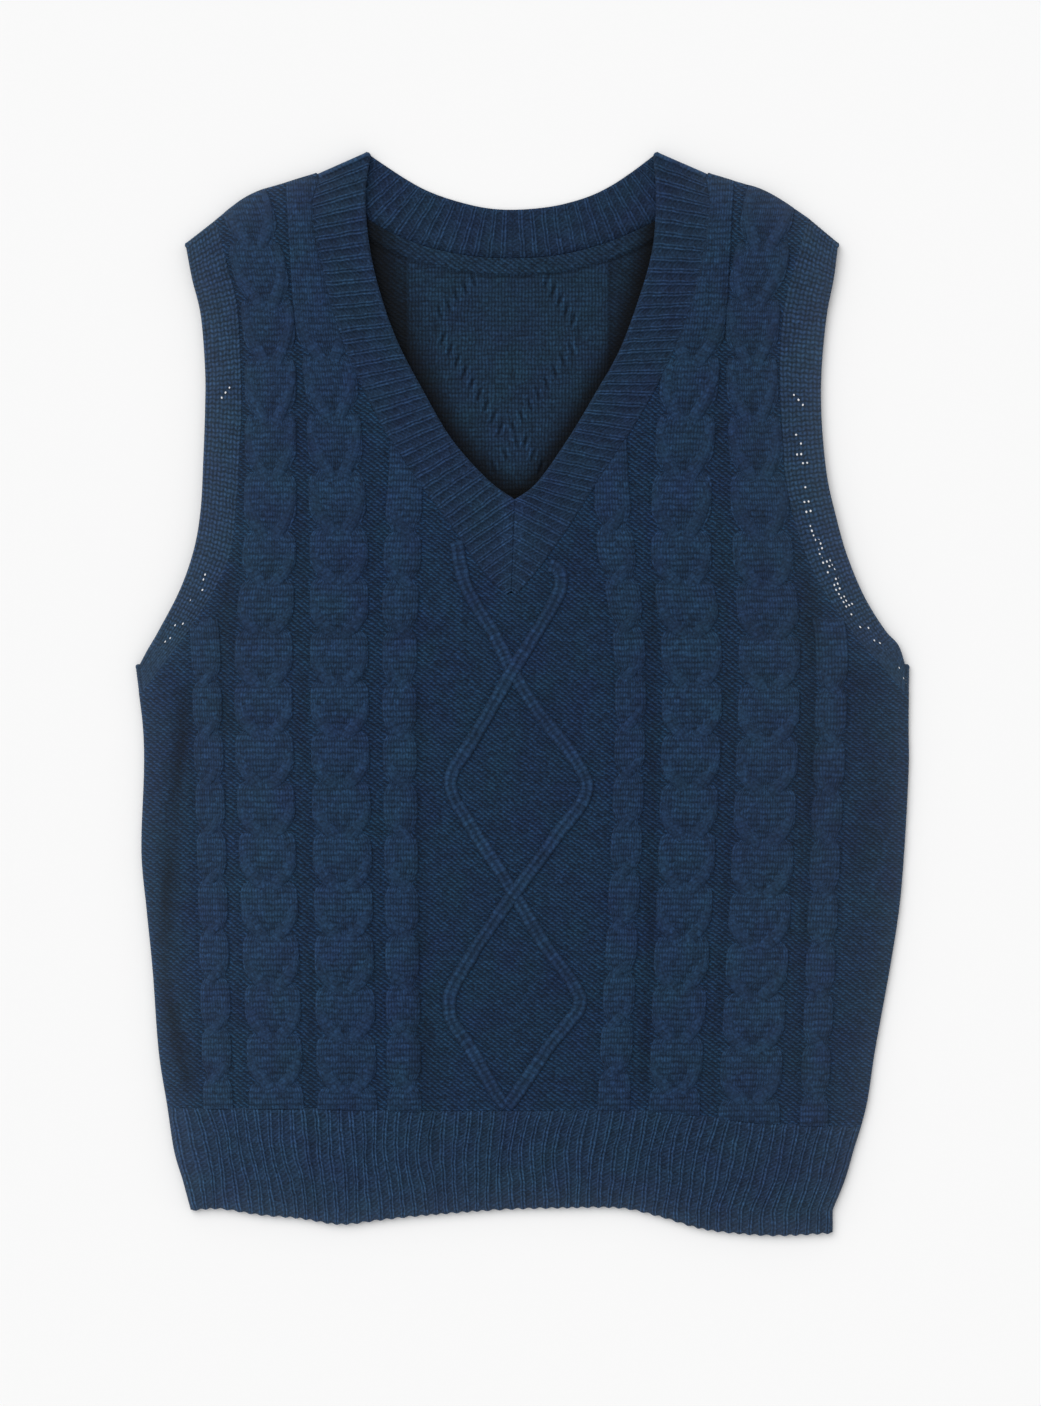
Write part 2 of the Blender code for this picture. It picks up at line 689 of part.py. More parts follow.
# ---------------------------------------------------------------- hem
def hem_rows(across_steps, down_steps, height):
    """Rows of points over the hem rib, top row first. height(across, down) gives z."""
    top = hem_top_line(-SEAM_GAP / 2)
    bottom = spaced_rows(smooth_rows(HEM_EDGE), HEM_CELLS)
    fine_top = spaced_rows(top, HEM_CELLS)
    rows = []
    for down in down_steps:
        row = []
        for across in across_steps:
            place = across * HEM_CELLS
            cell = min(int(place), HEM_CELLS - 1)
            part = place - cell
            high = fine_top[cell][1] + (fine_top[cell + 1][1] - fine_top[cell][1]) * part
            low = bottom[cell][1] + (bottom[cell + 1][1] - bottom[cell][1]) * part
            y = high + (low - high) * down
            left, right = side_at(y)
            x = left + (right - left) * across
            row.append((x, y, height(across, down)))
        rows.append(row)
    return rows


def end_rounding(distance, width):
    """Share of the full thickness at a distance from a finished edge."""
    if distance >= width:
        return 1.0
    return max(THINNEST_EDGE, math.sqrt(1.0 - (1.0 - distance / width) ** 2))


def hem_thickness(across, down):
    side = min(across, 1.0 - across) * HEM_WIDTH
    edge = (1.0 - down) * HEM_DEPTH
    return WALL * min(end_rounding(side, WALL), end_rounding(edge, EDGE_ROUND))


def front_hem(finish, collection):
    steps = [0.0, FOLD_STEPS[1] / HEM_WIDTH]
    crest = {}
    for rib in range(HEM_RIBS):
        for place, share in HEM_RIB_PROFILE:
            steps.append((rib + place) / HEM_RIBS)
            crest[steps[-1]] = HEM_RIB * share
    steps += [1.0 - FOLD_STEPS[1] / HEM_WIDTH, 1.0]
    steps.sort()
    inner = MIDDLE + FOLD_INSIDE

    def height(across, down):
        fade = end_rounding((1.0 - down) * HEM_DEPTH, EDGE_ROUND)
        return inner + hem_thickness(across, down) + crest.get(across, 0.0) * fade

    rows = hem_rows(steps, HEM_DOWN, height)
    return grid_solid("front_hem_rib", rows, inner, finish, collection)


def back_hem(finish, collection):
    ends = [step / HEM_WIDTH for step in FOLD_STEPS]
    steps = ends + [n / BACK_HEM_SECTIONS for n in range(1, BACK_HEM_SECTIONS)]
    steps += [1.0 - end for end in reversed(ends)]
    inner = MIDDLE - FOLD_INSIDE
    rows = hem_rows(steps, HEM_DOWN, lambda across, down: inner - hem_thickness(across, down))
    return grid_solid("back_hem_rib", rows, inner, finish, collection)


# ---------------------------------------------------------------- panels
def front_neck_line():
    """Neck edge of the front, from the right shoulder down to the V and up the left."""
    up_left, _, down_right = neck_plan()
    right = [RIGHT_NECK[0]] + down_right[::SECTIONS_PER_RIB]
    left = up_left[::SECTIONS_PER_RIB] + [LEFT_NECK[0]]
    return beyond(right) + [BELOW_MITRE] + beyond(left)


def back_neck_line():
    """Neck edge of the back, from the right shoulder to the left."""
    _, back, _ = neck_plan()
    return beyond([RIGHT_NECK[0]] + back[::-SECTIONS_PER_RIB] + [LEFT_NECK[0]])


def front_panel(finish, collection):
    outline = body_outline(front_neck_line())
    lines = fold_insets(outline) + clipped(ridge_lines(), outline, CLEAR_OF_OUTLINE)

    def thickness(x, y):
        plain = rounding(x, y)
        return plain + (relief(x, y) if plain == WALL else 0.0)

    points = relief_points(outline)
    return panel("front_panel", outline, lines, points, thickness, True, finish, collection)


def back_panel(finish, collection):
    outline = body_outline(back_neck_line())
    lines = fold_insets(outline)
    return panel("back_panel", outline, lines, [], rounding, False, finish, collection)


def centre_over_origin(collection):
    """Move every piece so that the vest's box is centred over the origin and stands on it."""
    corners = [vert.co for thing in collection.objects for vert in thing.data.vertices]
    low = Vector(min(co[axis] for co in corners) for axis in range(3))
    high = Vector(max(co[axis] for co in corners) for axis in range(3))
    shift = Vector(((low.x + high.x) / 2, (low.y + high.y) / 2, low.z))
    for thing in collection.objects:
        for vert in thing.data.vertices:
            vert.co -= shift


def main():
    for thing in list(bpy.data.objects):
        bpy.data.objects.remove(thing, do_unlink=True)
    collection = bpy.data.collections.new(COLLECTION)
    bpy.context.scene.collection.children.link(collection)
    body = material("navy_knit", NAVY)
    band = material("navy_band_rib", NAVY_BAND)
    hem = material("navy_hem_rib", NAVY_HEM)
    back_panel(body, collection)
    front_panel(body, collection)
    back_hem(hem, collection)
    front_hem(hem, collection)
    neckband(band, collection)
    armhole_band("left_armhole_band", LEFT_ARMHOLE, (-1.0, 0.0), band, collection)
    armhole_band("right_armhole_band", RIGHT_ARMHOLE, (1.0, 0.0), band, collection)
    centre_over_origin(collection)


main()
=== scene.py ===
"""Looks of a cable-knit V-neck vest in navy wool, laid flat with its front side up.

Sizes are in millimetres until a mesh is made. The neck is towards +Y, and left and right are
as seen from above. Every knitted piece carries its own stitch count, so the yarn pattern of
its material follows its wales and courses.
"""
import math

import bmesh
import bpy
import numpy as np
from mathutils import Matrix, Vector


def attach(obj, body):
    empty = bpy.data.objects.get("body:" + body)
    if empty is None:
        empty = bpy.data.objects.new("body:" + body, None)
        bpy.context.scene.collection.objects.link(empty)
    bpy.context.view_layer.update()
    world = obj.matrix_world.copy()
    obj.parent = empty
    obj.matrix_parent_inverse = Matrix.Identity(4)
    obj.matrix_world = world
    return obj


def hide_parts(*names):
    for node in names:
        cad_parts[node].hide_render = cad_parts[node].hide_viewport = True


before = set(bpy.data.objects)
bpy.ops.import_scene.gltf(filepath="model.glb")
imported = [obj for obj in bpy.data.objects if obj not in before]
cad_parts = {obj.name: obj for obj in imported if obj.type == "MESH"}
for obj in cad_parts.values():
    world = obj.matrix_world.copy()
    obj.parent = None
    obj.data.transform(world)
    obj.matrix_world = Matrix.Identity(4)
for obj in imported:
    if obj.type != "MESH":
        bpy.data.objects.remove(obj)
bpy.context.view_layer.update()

MM = 0.001
CENTRE = np.array((0.356, 0.093))   # of the vest's outline, in the frame of the tables below

# ---------------------------------------------------------------- gauge and walls
WALE = 3.87             # one plain stitch across
COURSE = 2.8            # one plain stitch up
CABLE_WALE = 3.1        # cabling draws the stitches in and makes them longer
CABLE_COURSE = 3.5
RIB_COURSE = 2.5
MESH_STEP = 1.6         # of the finer meshes
WALL = 2.5
LAYER_GAP = 0.4
TUCK = 0.7              # of a panel's edge under the bands
MIDDLE = WALL + LAYER_GAP / 2       # height of the plane between the layers
FOLD_INSIDE = LAYER_GAP / 2
FRONT_INSIDE = MIDDLE + FOLD_INSIDE
BACK_INSIDE = MIDDLE - FOLD_INSIDE
EDGE_ROUND = 2.0        # width of the rounding along a finished edge
SEAM_GROOVE = 0.2       # how far a panel is drawn down beside a band
WELD = 0.03             # nearer points than this become one
LEAST_EDGE = 0.01

BAND_RIB = 1.0          # how far the neckband's ribs stand up
BAND_RIB_PITCH = 7.0
WALES_PER_RIB = 4       # a knit wale and a purl one, each counted as two: one for each leg
COLUMNS_PER_RIB = 14    # of a rib's mesh
COLUMNS_PER_FLAT_RIB = 6            # the same where it lies flat underneath
BAND_APART = 0.65       # from a rib's middle to the crest of each of its legs
LEG_HALF = 0.46         # half width of a leg
BETWEEN_LEGS = 0.3      # height left between them, as a share
MITRE_LAP = 0.7         # how far the neckband's two ends are drawn together below the V
PURL_CRISP = 0.5        # how clearly the purl bars show, deep between the ribs
HEM_RIB = 1.15
HEM_APART = 0.72
HEM_RIBS = 59
HEM_DEPTH = 64.0        # from the panel's last course to the lower edge, seam and all
HEM_WIDTH = 385.0
ARMHOLE_WALES = 5

# ---------------------------------------------------------------- outline, as laid
# Side folds: height, left side, right side.
SIDES = (
    (-299.0, -192.0, 180.0), (-282.0, -196.5, 187.0), (-265.0, -201.5, 192.0),
    (-239.0, -205.5, 199.5), (-207.0, -210.5, 204.5), (-160.0, -214.0, 213.0),
    (-125.0, -217.5, 218.5), (-91.0, -220.5, 221.5), (-45.0, -219.0, 224.0),
    (-21.0, -219.5, 224.0), (1.0, -222.0, 224.2), (17.0, -224.0, 224.5),
)
# Lower edge and top of the hem rib, left to right: across, height.
HEM_EDGE = (
    (-192.0, -299.5), (-175.0, -298.5), (-152.0, -302.0), (-129.0, -304.0), (-105.5, -307.5),
    (-82.5, -305.0), (-59.0, -302.5), (-13.0, -299.0), (22.0, -298.0), (57.0, -298.0),
    (80.0, -303.0), (103.0, -310.0), (126.5, -313.0), (149.5, -314.0), (179.5, -312.5),
)
HEM_TOP = (
    (-205.0, -240.0), (-129.0, -240.0), (-59.0, -241.5), (0.0, -241.5),
    (68.5, -241.0), (138.0, -248.0), (196.3, -251.0),
)
# Armhole bands, underarm to shoulder: outer edge across and height, seam across and height.
LEFT_ARMHOLE = (
    (-224.0, 17.0, -222.0, 1.0), (-217.0, 25.0, -207.0, 17.0), (-210.0, 37.0, -197.0, 30.0),
    (-198.0, 60.0, -182.0, 52.0), (-190.0, 83.0, -170.0, 76.0), (-186.0, 106.5, -165.5, 101.0),
    (-184.5, 135.5, -163.5, 132.0), (-183.5, 164.5, -162.0, 163.0), (-183.5, 187.5, -162.5, 190.5),
    (-186.0, 219.0, -164.5, 224.0), (-191.0, 240.0, -170.5, 249.0), (-196.0, 260.0, -178.0, 274.0),
)
RIGHT_ARMHOLE = (
    (224.5, 17.0, 224.2, 0.0), (218.0, 28.0, 208.0, 16.0), (210.0, 37.0, 197.0, 28.0),
    (198.0, 56.5, 181.5, 48.0), (188.0, 80.5, 167.0, 73.0), (181.5, 103.5, 158.0, 98.0),
    (176.5, 126.5, 152.5, 123.0), (173.5, 158.5, 150.0, 157.0), (173.5, 187.5, 149.0, 190.0),
    (176.5, 219.0, 151.5, 223.0), (180.5, 240.0, 158.0, 249.0), (184.5, 260.0, 166.5, 275.0),
)
# Share of the stitches with a pin-hole along the middle of each armhole band: height, share.
LEFT_OPENED = (
    (20, 0), (38, 0.08), (72, 0.08), (85, 0.0), (165, 0.0), (172, 0.15), (185, 0.15), (192, 0.0),
)
RIGHT_OPENED = (
    (10, 0.1), (35, 0.25), (50, 0.5), (85, 0.5), (105, 0.2), (125, 0.15), (138, 0.25),
    (145, 0.06), (165, 0.06), (175, 0.2), (182, 0.0),
)
# Shoulder folds, neckband to armhole band: across, height.
LEFT_SHOULDER = (
    (-119.5, 301.5), (-140.5, 295.0), (-152.0, 291.5), (-163.5, 285.5), (-178.0, 274.0),
)
RIGHT_SHOULDER = (
    (108.5, 301.5), (126.5, 296.0), (138.0, 292.5), (149.5, 286.5), (166.5, 275.0),
)
# Neckband, shoulder to V point: seam across and height, free edge across and height.
LEFT_NECK = (
    (-119.5, 301.5, -89.0, 315.0), (-122.5, 281.0, -90.5, 290.0), (-120.0, 260.0, -89.0, 265.0),
    (-114.0, 236.0, -84.0, 239.0), (-104.0, 202.0, -73.0, 206.0), (-87.0, 166.0, -57.0, 175.0),
    (-68.0, 133.0, -40.5, 147.0), (-46.5, 104.5, -20.0, 124.0), (-36.0, 90.0, -4.3, 112.0),
)
RIGHT_NECK = (
    (108.5, 301.5, 77.5, 315.0), (109.5, 281.0, 77.5, 288.0), (106.5, 258.0, 76.0, 261.0),
    (102.0, 236.0, 70.0, 236.0), (90.0, 202.0, 57.0, 200.0), (75.0, 172.0, 42.0, 173.0),
    (57.0, 142.0, 27.0, 148.0), (39.0, 115.0, 9.0, 122.5), (27.0, 96.0, -4.0, 112.0),
)
LEFT_MITRE = ((-36.0, 90.0, -4.3, 112.0), (-22.0, 70.0, -5.5, 82.0), (-9.0, 57.5, -6.2, 59.5))
RIGHT_MITRE = ((27.0, 96.0, -4.0, 112.0), (10.0, 72.5, -5.2, 82.0), (-3.5, 57.0, -5.9, 59.5))
BELOW_MITRE = (-6.1, 58.4)
V_POINT = 112.0         # height of the point of the V
MITRE_FOOT = 72.0
MITRE_MIDDLE = -5.5
MITRE_LIGHT = 0.3       # more light on the stitches drawn up along the mitre
BACK_NECK = (
    (-119.5, 301.5, -89.0, 315.0), (-105.5, 286.5, -80.0, 306.5), (-91.0, 275.0, -67.0, 298.0),
    (-74.0, 265.5, -55.0, 291.5), (-53.0, 257.5, -40.0, 286.0), (-27.0, 252.5, -21.0, 281.5),
    (-2.0, 251.5, -3.0, 280.5), (22.0, 253.5, 18.0, 282.5), (46.0, 259.5, 37.0, 287.5),
    (65.0, 267.0, 51.0, 294.0), (83.0, 277.0, 64.0, 302.5), (108.5, 301.5, 77.5, 315.0),
)

# ---------------------------------------------------------------- cables
# Middle line of each cable: height, across, half width.
LEFT_OUTER = ((300, -166, 14), (278, -158, 15), (251, -153, 16), (219, -147, 15.5),
              (175, -145.5, 15), (87, -146, 15.5), (-4, -149.5, 17), (-240, -142, 16))
LEFT_INNER = ((300, -121, 16), (219, -116, 16), (175, -110, 15.5), (87, -106, 17),
              (-4, -105.5, 17), (-240, -101, 17.5))
RIGHT_INNER = ((300, 107, 16), (219, 102, 16.5), (175, 96.5, 17), (87, 92, 17.5),
               (-4, 98.5, 17.5), (-240, 88, 15))
RIGHT_OUTER = ((300, 147, 14), (283, 143, 15), (249, 138, 16), (228, 134, 16),
               (175, 133.5, 15), (87, 139, 17.5), (-4, 143, 18), (-240, 131.5, 18))
LEFT_SIDE = ((44, -184.5, 8.5), (-4, -182, 8.7), (-240, -175.7, 8.7))
LEFT_FRONT = ((150, -66, 10), (120, -67.5, 10), (87, -69, 11), (-4, -70.8, 10), (-240, -68, 10))
RIGHT_FRONT = ((150, 50.5, 10), (120, 52, 10), (87, 54, 11), (-4, 63, 9), (-240, 53, 9.5))
RIGHT_SIDE = ((44, 177, 9.3), (-4, 179, 9.3), (-240, 169, 8.3))

# Each cable: its middle line, its kind, its lowest and highest crossing, and its repeat up to
# the V. The strands of a wide cable cross to its middle, and those of a rope to one side.
CABLES = {
    "left_outer_cable": (LEFT_OUTER, "wide", -224.8, 262.0, 29.05),
    "left_inner_cable": (LEFT_INNER, "wide", -227.1, 193.0, 29.4),
    "right_inner_cable": (RIGHT_INNER, "wide", -227.1, 193.0, 29.3),
    "right_outer_cable": (RIGHT_OUTER, "wide", -232.9, 262.0, 29.8),
    "left_side_rope": (LEFT_SIDE, "to the left", -222.4, 6.0, 28.6),
    "left_front_rope": (LEFT_FRONT, "to the right", -227.1, 98.0, 29.2),
    "right_front_rope": (RIGHT_FRONT, "to the left", -218.4, 96.0, 28.6),
    "right_side_rope": (RIGHT_SIDE, "to the right", -232.9, 3.0, 29.4),
}
LOWER_REPEAT = 29.3     # of them all on average, below the V
LOWER_REPEAT_HALF = 15.0            # about half of it, from a crossing to the middle of a block
UPPER_REPEAT = 33.4     # beside the V, where the knit is drawn out
UPPER_FROM = 90.0
SIDE_ROPES_TOP = 50.0   # only the side ropes have all their crossings below this

# A cable is a run of plump blocks, one from each crossing down to the next. At a block's foot
# its outer stitches are drawn in front of its middle, where they go on into the next block,
# whose own outer stitches come from behind as two shoulders.
# Rise of a block's middle and of its sides, against the share of the way down.
MIDDLE_RISE = (
    (0.0, 1.2), (0.12, 1.9), (0.25, 2.25), (0.45, 2.1), (0.65, 1.85), (0.85, 1.4), (1.0, 1.1),
)
SIDE_RISE = (
    (0.0, 0.6), (0.06, 1.1), (0.16, 1.6), (0.35, 1.95), (0.6, 2.0), (0.85, 1.7), (0.95, 1.2),
    (1.0, 0.6),
)
WAIST = (0.21, 0.24)    # how far it is drawn in at a crossing, below and beside the V
ROPE_WAIST = 1.5        # a rope is drawn in this much more
CREASE = 0.55           # depth of the crease between its middle and the strands in front
SUNK_RIM = 0.9          # how far below the panel's surface a cable's closed underside starts

# Strands that cross in front. Columns: middle as a share of the half width, how far down the
# block, half width as a share, and rise. Below the V they turn in short curves like a U, and
# beside it they are long and slim.
BROAD_ARM = (
    (0.80, 0.30, 0.13, 1.3), (0.80, 0.47, 0.18, 1.95), (0.76, 0.63, 0.21, 2.3),
    (0.67, 0.78, 0.235, 2.55), (0.52, 0.91, 0.25, 2.7), (0.35, 1.01, 0.255, 2.75),
    (0.25, 1.10, 0.245, 2.6), (0.22, 1.20, 0.21, 2.35), (0.22, 1.31, 0.14, 1.9),
)
SLIM_ARM = (
    (0.74, 0.04, 0.13, 1.1), (0.80, 0.18, 0.185, 1.8), (0.79, 0.38, 0.21, 2.15),
    (0.70, 0.60, 0.22, 2.35), (0.55, 0.80, 0.24, 2.5), (0.38, 0.96, 0.25, 2.65),
    (0.26, 1.08, 0.245, 2.55), (0.22, 1.19, 0.21, 2.3), (0.22, 1.31, 0.14, 1.9),
)
ROPE_ARM = (
    (-0.58, 0.28, 0.22, 1.2), (-0.60, 0.46, 0.30, 1.85), (-0.54, 0.62, 0.34, 2.2),
    (-0.38, 0.77, 0.37, 2.45), (-0.14, 0.90, 0.38, 2.6), (0.14, 1.00, 0.38, 2.6),
    (0.36, 1.10, 0.36, 2.45), (0.46, 1.20, 0.31, 2.2), (0.48, 1.31, 0.21, 1.75),
)
SLIM_ABOVE = 150.0      # height above which every block is slim, and below which it is broad
BROAD_BELOW = 60.0
BROAD_SIZE = 0.85       # height of a broad strand against a slim one
ARM_WALES = 2           # stitches across a strand
ARM_CRISP = 0.45        # a strand in front is drawn tight, so its stitches show less
RIM_LIGHT = 0.2         # more light on the outermost stitches of a block
FOOT_SHADE = 0.16       # light lost at its foot, behind the strands

# Lattice: points along the two strands, and the rise and half width of both.
LATTICE = (
    ((-38.4, 88.0), (-37.1, 83.8), (-36, 76.3), (-32.5, 62.3), (-24.4, 47.8), (-16.2, 34.5),
     (-5.5, 13), (10.4, -11.9), (24.9, -29.9), (33.6, -43.2), (37.7, -51.9), (36.5, -58.9),
     (32.5, -66.4), (21.5, -80.3), (11.6, -94.2), (-4.6, -115.7), (-20.9, -138.9),
     (-27.3, -148.2), (-33.1, -158), (-38.3, -166.2), (-41.5, -174.3), (-42, -181.8),
     (-40.6, -188.8), (-36, -196.3), (-30.2, -204.4), (-24.9, -213.7), (-19.1, -224.2),
     (-13.9, -232.9), (-8.7, -238.7)),
    ((15.5, 74.0), (20.0, 72.5), (22.6, 67.5), (22.0, 61.0), (20.3, 56), (13.3, 43.2), (5.8, 31),
     (-5.5, 13), (-18.6, -10.1), (-28.7, -27), (-34.2, -35.7), (-38.6, -42.3), (-41.2, -49),
     (-41.2, -54.8), (-38.6, -62.1), (-34.2, -69), (-24.4, -85), (-13.9, -100.6),
     (-4.6, -115.7), (9.9, -140.1), (16.8, -150.5), (23.2, -158.6), (28.4, -166.2),
     (32.8, -173.7), (33.6, -178.9), (32.2, -183.6), (27.8, -189.4), (16.2, -203.6),
     (9.9, -212.6), (1.2, -225.3), (-4.1, -232.9), (-8.7, -238.7)),
)
LATTICE_CROSSINGS = ((-5.5, 13), (-4.6, -115.7))
LATTICE_RISE = 1.4
LATTICE_HALF = 4.0
LATTICE_OVER = 0.6      # how far one strand lies above the other where they cross

# Soft creases laid into the front: depth, half width, share of the light lost there, middle line.
CREASES = (
    (1.8, 4.6, 0.60, ((-196, 0), (-197, -28), (-200, -56), (-204, -91), (-206.5, -149),
                      (-203, -184), (-196, -213), (-192, -228))),
    (1.0, 9.0, 0.0, ((-193, 12), (-188, -20), (-190, -80), (-196, -140), (-192, -200))),
    (1.0, 6.0, 0.34, ((164, 92), (165.5, 60), (167, 30), (166, -20), (165.5, -90))),
    (0.6, 5.0, 0.16, ((165.5, -90), (163, -150), (160, -220))),
    (0.9, 9.0, 0.18, ((193, 6), (197, -20), (203, -60), (198, -100))),
    (0.9, 7.0, 0.26, ((-171, 62), (-171, 40), (-172, 10), (-170, -16))),
    (0.8, 4.0, 0.20, ((-59, 0), (-59.5, -60), (-59, -120), (-58.5, -150))),
    (1.2, 6.0, 0.26, ((-58.5, -150), (-57, -190), (-56, -215), (-50, -262))),
    (0.9, 3.5, 0.27, ((76, 60), (75.5, 0), (75, -60), (74.5, -120), (73, -180), (70, -224))),
    (0.6, 3.0, 0.15, ((-131, 262), (-129, 200), (-128, 110), (-127, 30), (-126, -40),
                      (-124, -130), (-122, -225), (-120, -262))),
    (0.5, 2.2, 0.24, ((-124, -212), (-122, -235), (-121, -270), (-119, -300))),
    (0.6, 3.0, 0.15, ((118, 250), (115, 170), (116, 80), (120, 0), (118, -120), (110, -225))),
    (0.4, 2.0, 0.34, ((-170, 250), (-164.5, 224), (-162, 190), (-161.5, 163), (-163, 132),
                      (-165, 101), (-169, 77))),
    (0.5, 3.0, 0.09, ((-86, 140), (-85, 60), (-86, -60), (-84, -200))),
    (0.6, 4.5, 0.14, ((-176, 34), (-150, 31), (-110, 33), (-80, 30), (-48, 36))),
    (0.6, 9.0, 0.0, ((-60, -60), (-40, -90), (-58, -150))),
    (0.5, 9.0, 0.0, ((20, -60), (46, -110), (30, -150))),
    (0.4, 3.0, 0.05, ((-46, 38), (-30, 18), (-16, -4))),
    (0.4, 3.0, 0.05, ((-38, 50), (-20, 27), (-8, 12))),
)

# Share of the light lost in the neck beside the band, where the front stands off the back, and
# how far it reaches from the band's left and right edges.
NECK_SHADE = 0.88
NECK_SHADE_REACH = (10.5, 9.0)
NECK_SHADE_WIDER = (5.5, 0.5)       # by how much more, high up in the neck
# Loose pale hair and painted light, which make the vest paler and greyer at its edges and over its
# sides: share of what shows at its edges, how far in from there, and the share over the sides.
EDGE_HAIR_AND_LIGHT = 0.05
EDGE_HAIR_AND_LIGHT_REACH = 11.0
SIDE_HAIR_AND_LIGHT = 0.015
# The window is to the left: share of the light lost with each mm to the right, and from where on.
FALL_OFF = 0.0003
FULL_LIGHT_AT = -70.0

# Inside of the back, seen in the neck: edges of its smooth middle, and the rows of slanted
# hollows where the strands of its own lattice run on the far side. Columns: place of the first
# hollow and of the last, how many, and their lean. The rows turn at two small dents.
MIDDLE_EDGES = (-66.7, 49.9)
CHAINS = (
    ((-28.1, 239.7), (-47.6, 220.5), 5, 1), ((-45.9, 205.8), (-12.5, 153.5), 9, -1),
    ((14.3, 239.0), (29.5, 216.5), 5, -1), ((28.6, 199.8), (-5.0, 154.0), 8, 1),
    ((-3.0, 146.0), (-16.5, 131.0), 3, 1), ((2.0, 146.0), (11.0, 131.0), 3, -1),
)
CHAIN_TURNS = ((-50.0, 212.5), (32.9, 208.5))
HOLLOW_ALONG = (0.29, -0.957)       # the way one runs where lean is 1: down, and to the right
HOLLOW_LONG = 3.9       # half of its length, and of its width
HOLLOW_WIDE = 0.9
HOLLOW_DEEP = 1.5
HOLLOW_SHADE = 0.55     # share of the light lost in it
LOOP_BESIDE = 2.0       # from its middle to the raised loop on each side of it
LOOP_SHADE_BESIDE = 3.6             # and to the shade past that
LINKED_STRIP = 8.7      # width of the turned-in knit under the back of the neckband


# ---------------------------------------------------------------- lines
def smooth(rows, per_span=8):
    """A smooth curve through every row of a table."""
    rows = np.array(rows, float)
    padded = np.vstack((rows[:1], rows, rows[-1:]))
    t = np.arange(per_span)[:, None] / per_span
    spans = [(2 * b + (c - a) * t + (2 * a - 5 * b + 4 * c - d) * t ** 2
              + (3 * b - a - 3 * c + d) * t ** 3) / 2
             for a, b, c, d in zip(padded, padded[1:], padded[2:], padded[3:])]
    return np.vstack(spans + [rows[-1:]])


def along_line(line):
    """Distance along a line at each of its rows."""
    return np.concatenate(([0.0], np.cumsum(np.linalg.norm(np.diff(line, axis=0), axis=1))))


def spaced(line, count):
    """The line again, as count + 1 rows at even steps."""
    along = along_line(line)
    places = np.linspace(0.0, along[-1], count + 1)
    return np.stack([np.interp(places, along, column) for column in line.T], 1)


def nearest(points, line, batch=3000):
    """Distance from each point to a line, and the nearest place on it."""
    start, run = line[:-1], np.diff(line, axis=0)
    size = np.maximum((run ** 2).sum(1), 1e-9)
    away, place = np.empty(len(points)), np.empty((len(points), 2))
    for first in range(0, len(points), batch):
        some = points[first:first + batch, None]
        t = np.clip(((some - start) * run).sum(2) / size, 0.0, 1.0)
        on = start + run * t[..., None]
        gap = ((some - on) ** 2).sum(2)
        best = gap.argmin(1)
        pick = np.arange(len(best))
        away[first:first + batch] = np.sqrt(gap[pick, best])
        place[first:first + batch] = on[pick, best]
    return away, place


def within(points, outline):
    """Which points lie inside a closed outline."""
    x, y = points.T
    hit = np.zeros(len(points), bool)
    for a, b in zip(outline, np.roll(outline, -1, 0)):
        if a[1] != b[1]:
            crosses = (a[1] > y) != (b[1] > y)
            hit ^= crosses & (x < (b[0] - a[0]) * (y - a[1]) / (b[1] - a[1]) + a[0])
    return hit


def soft_step(x, low, high):
    """0 below low, 1 above high, with a soft change between."""
    t = np.clip((x - low) / (high - low), 0.0, 1.0)
    return t * t * (3.0 - 2.0 * t)


def soft_hump(distance, reach, power=2):
    """1 where the distance is 0, falling softly to nothing a little past the reach."""
    return np.exp(-(distance / reach) ** power)


def sampled(slow, step):
    """A slow function of places, worked out on a grid once and read between its points."""
    x, y = np.arange(-240.0, 241.0, step), np.arange(-330.0, 331.0, step)
    value = slow(np.stack(np.meshgrid(x, y), -1).reshape(-1, 2)).reshape(len(y), len(x))

    def read(points):
        u = np.clip((points[:, 0] - x[0]) / step, 0.0, len(x) - 1.001)
        v = np.clip((points[:, 1] - y[0]) / step, 0.0, len(y) - 1.001)
        i, j = u.astype(int), v.astype(int)
        s, t = u - i, v - j
        low = value[j, i] * (1.0 - s) + value[j, i + 1] * s
        high = value[j + 1, i] * (1.0 - s) + value[j + 1, i + 1] * s
        return low * (1.0 - t) + high * t
    return read


def distance_to(lines, step=4.0, close=6.0):
    """A function for the distance to the nearest of some lines, exact where it is short."""
    rough = sampled(lambda points: np.min([nearest(points, line)[0] for line in lines], 0), step)

    def read(points):
        away = rough(points)
        near = away < close + step
        if near.any():
            away[near] = np.min([nearest(points[near], line)[0] for line in lines], 0)
        return away
    return read


def tucked(rows):
    """The panel's edge, a little way under the seam side of a band's rows."""
    seam, edge = rows[:, :2], rows[:, 2:]
    return seam + (edge - seam) / np.linalg.norm(edge - seam, axis=1, keepdims=True) * TUCK


def seam_first(rows):
    """A band's rows with the seam before the free edge."""
    rows = np.array(rows)
    return np.hstack((rows[:, 2:], rows[:, :2]))


def out_of(row):
    """Unit direction square to a band's row, up and away from the vest."""
    square = np.array((row[1] - row[3], row[2] - row[0]))
    square /= np.linalg.norm(square)
    return square if square[1] > 0 else -square


SIDE_LEFT = smooth([(left, height) for height, left, right in SIDES])
SIDE_RIGHT = smooth([(right, height) for height, left, right in SIDES])
FOLDS = (SIDE_LEFT, SIDE_RIGHT, smooth(LEFT_SHOULDER), smooth(RIGHT_SHOULDER))
HEM_LINE = smooth(HEM_EDGE)


def sides_at(y):
    """Where the left and right side folds are at heights y."""
    return [np.interp(y, line[:, 1], line[:, 0]) for line in (SIDE_LEFT, SIDE_RIGHT)]


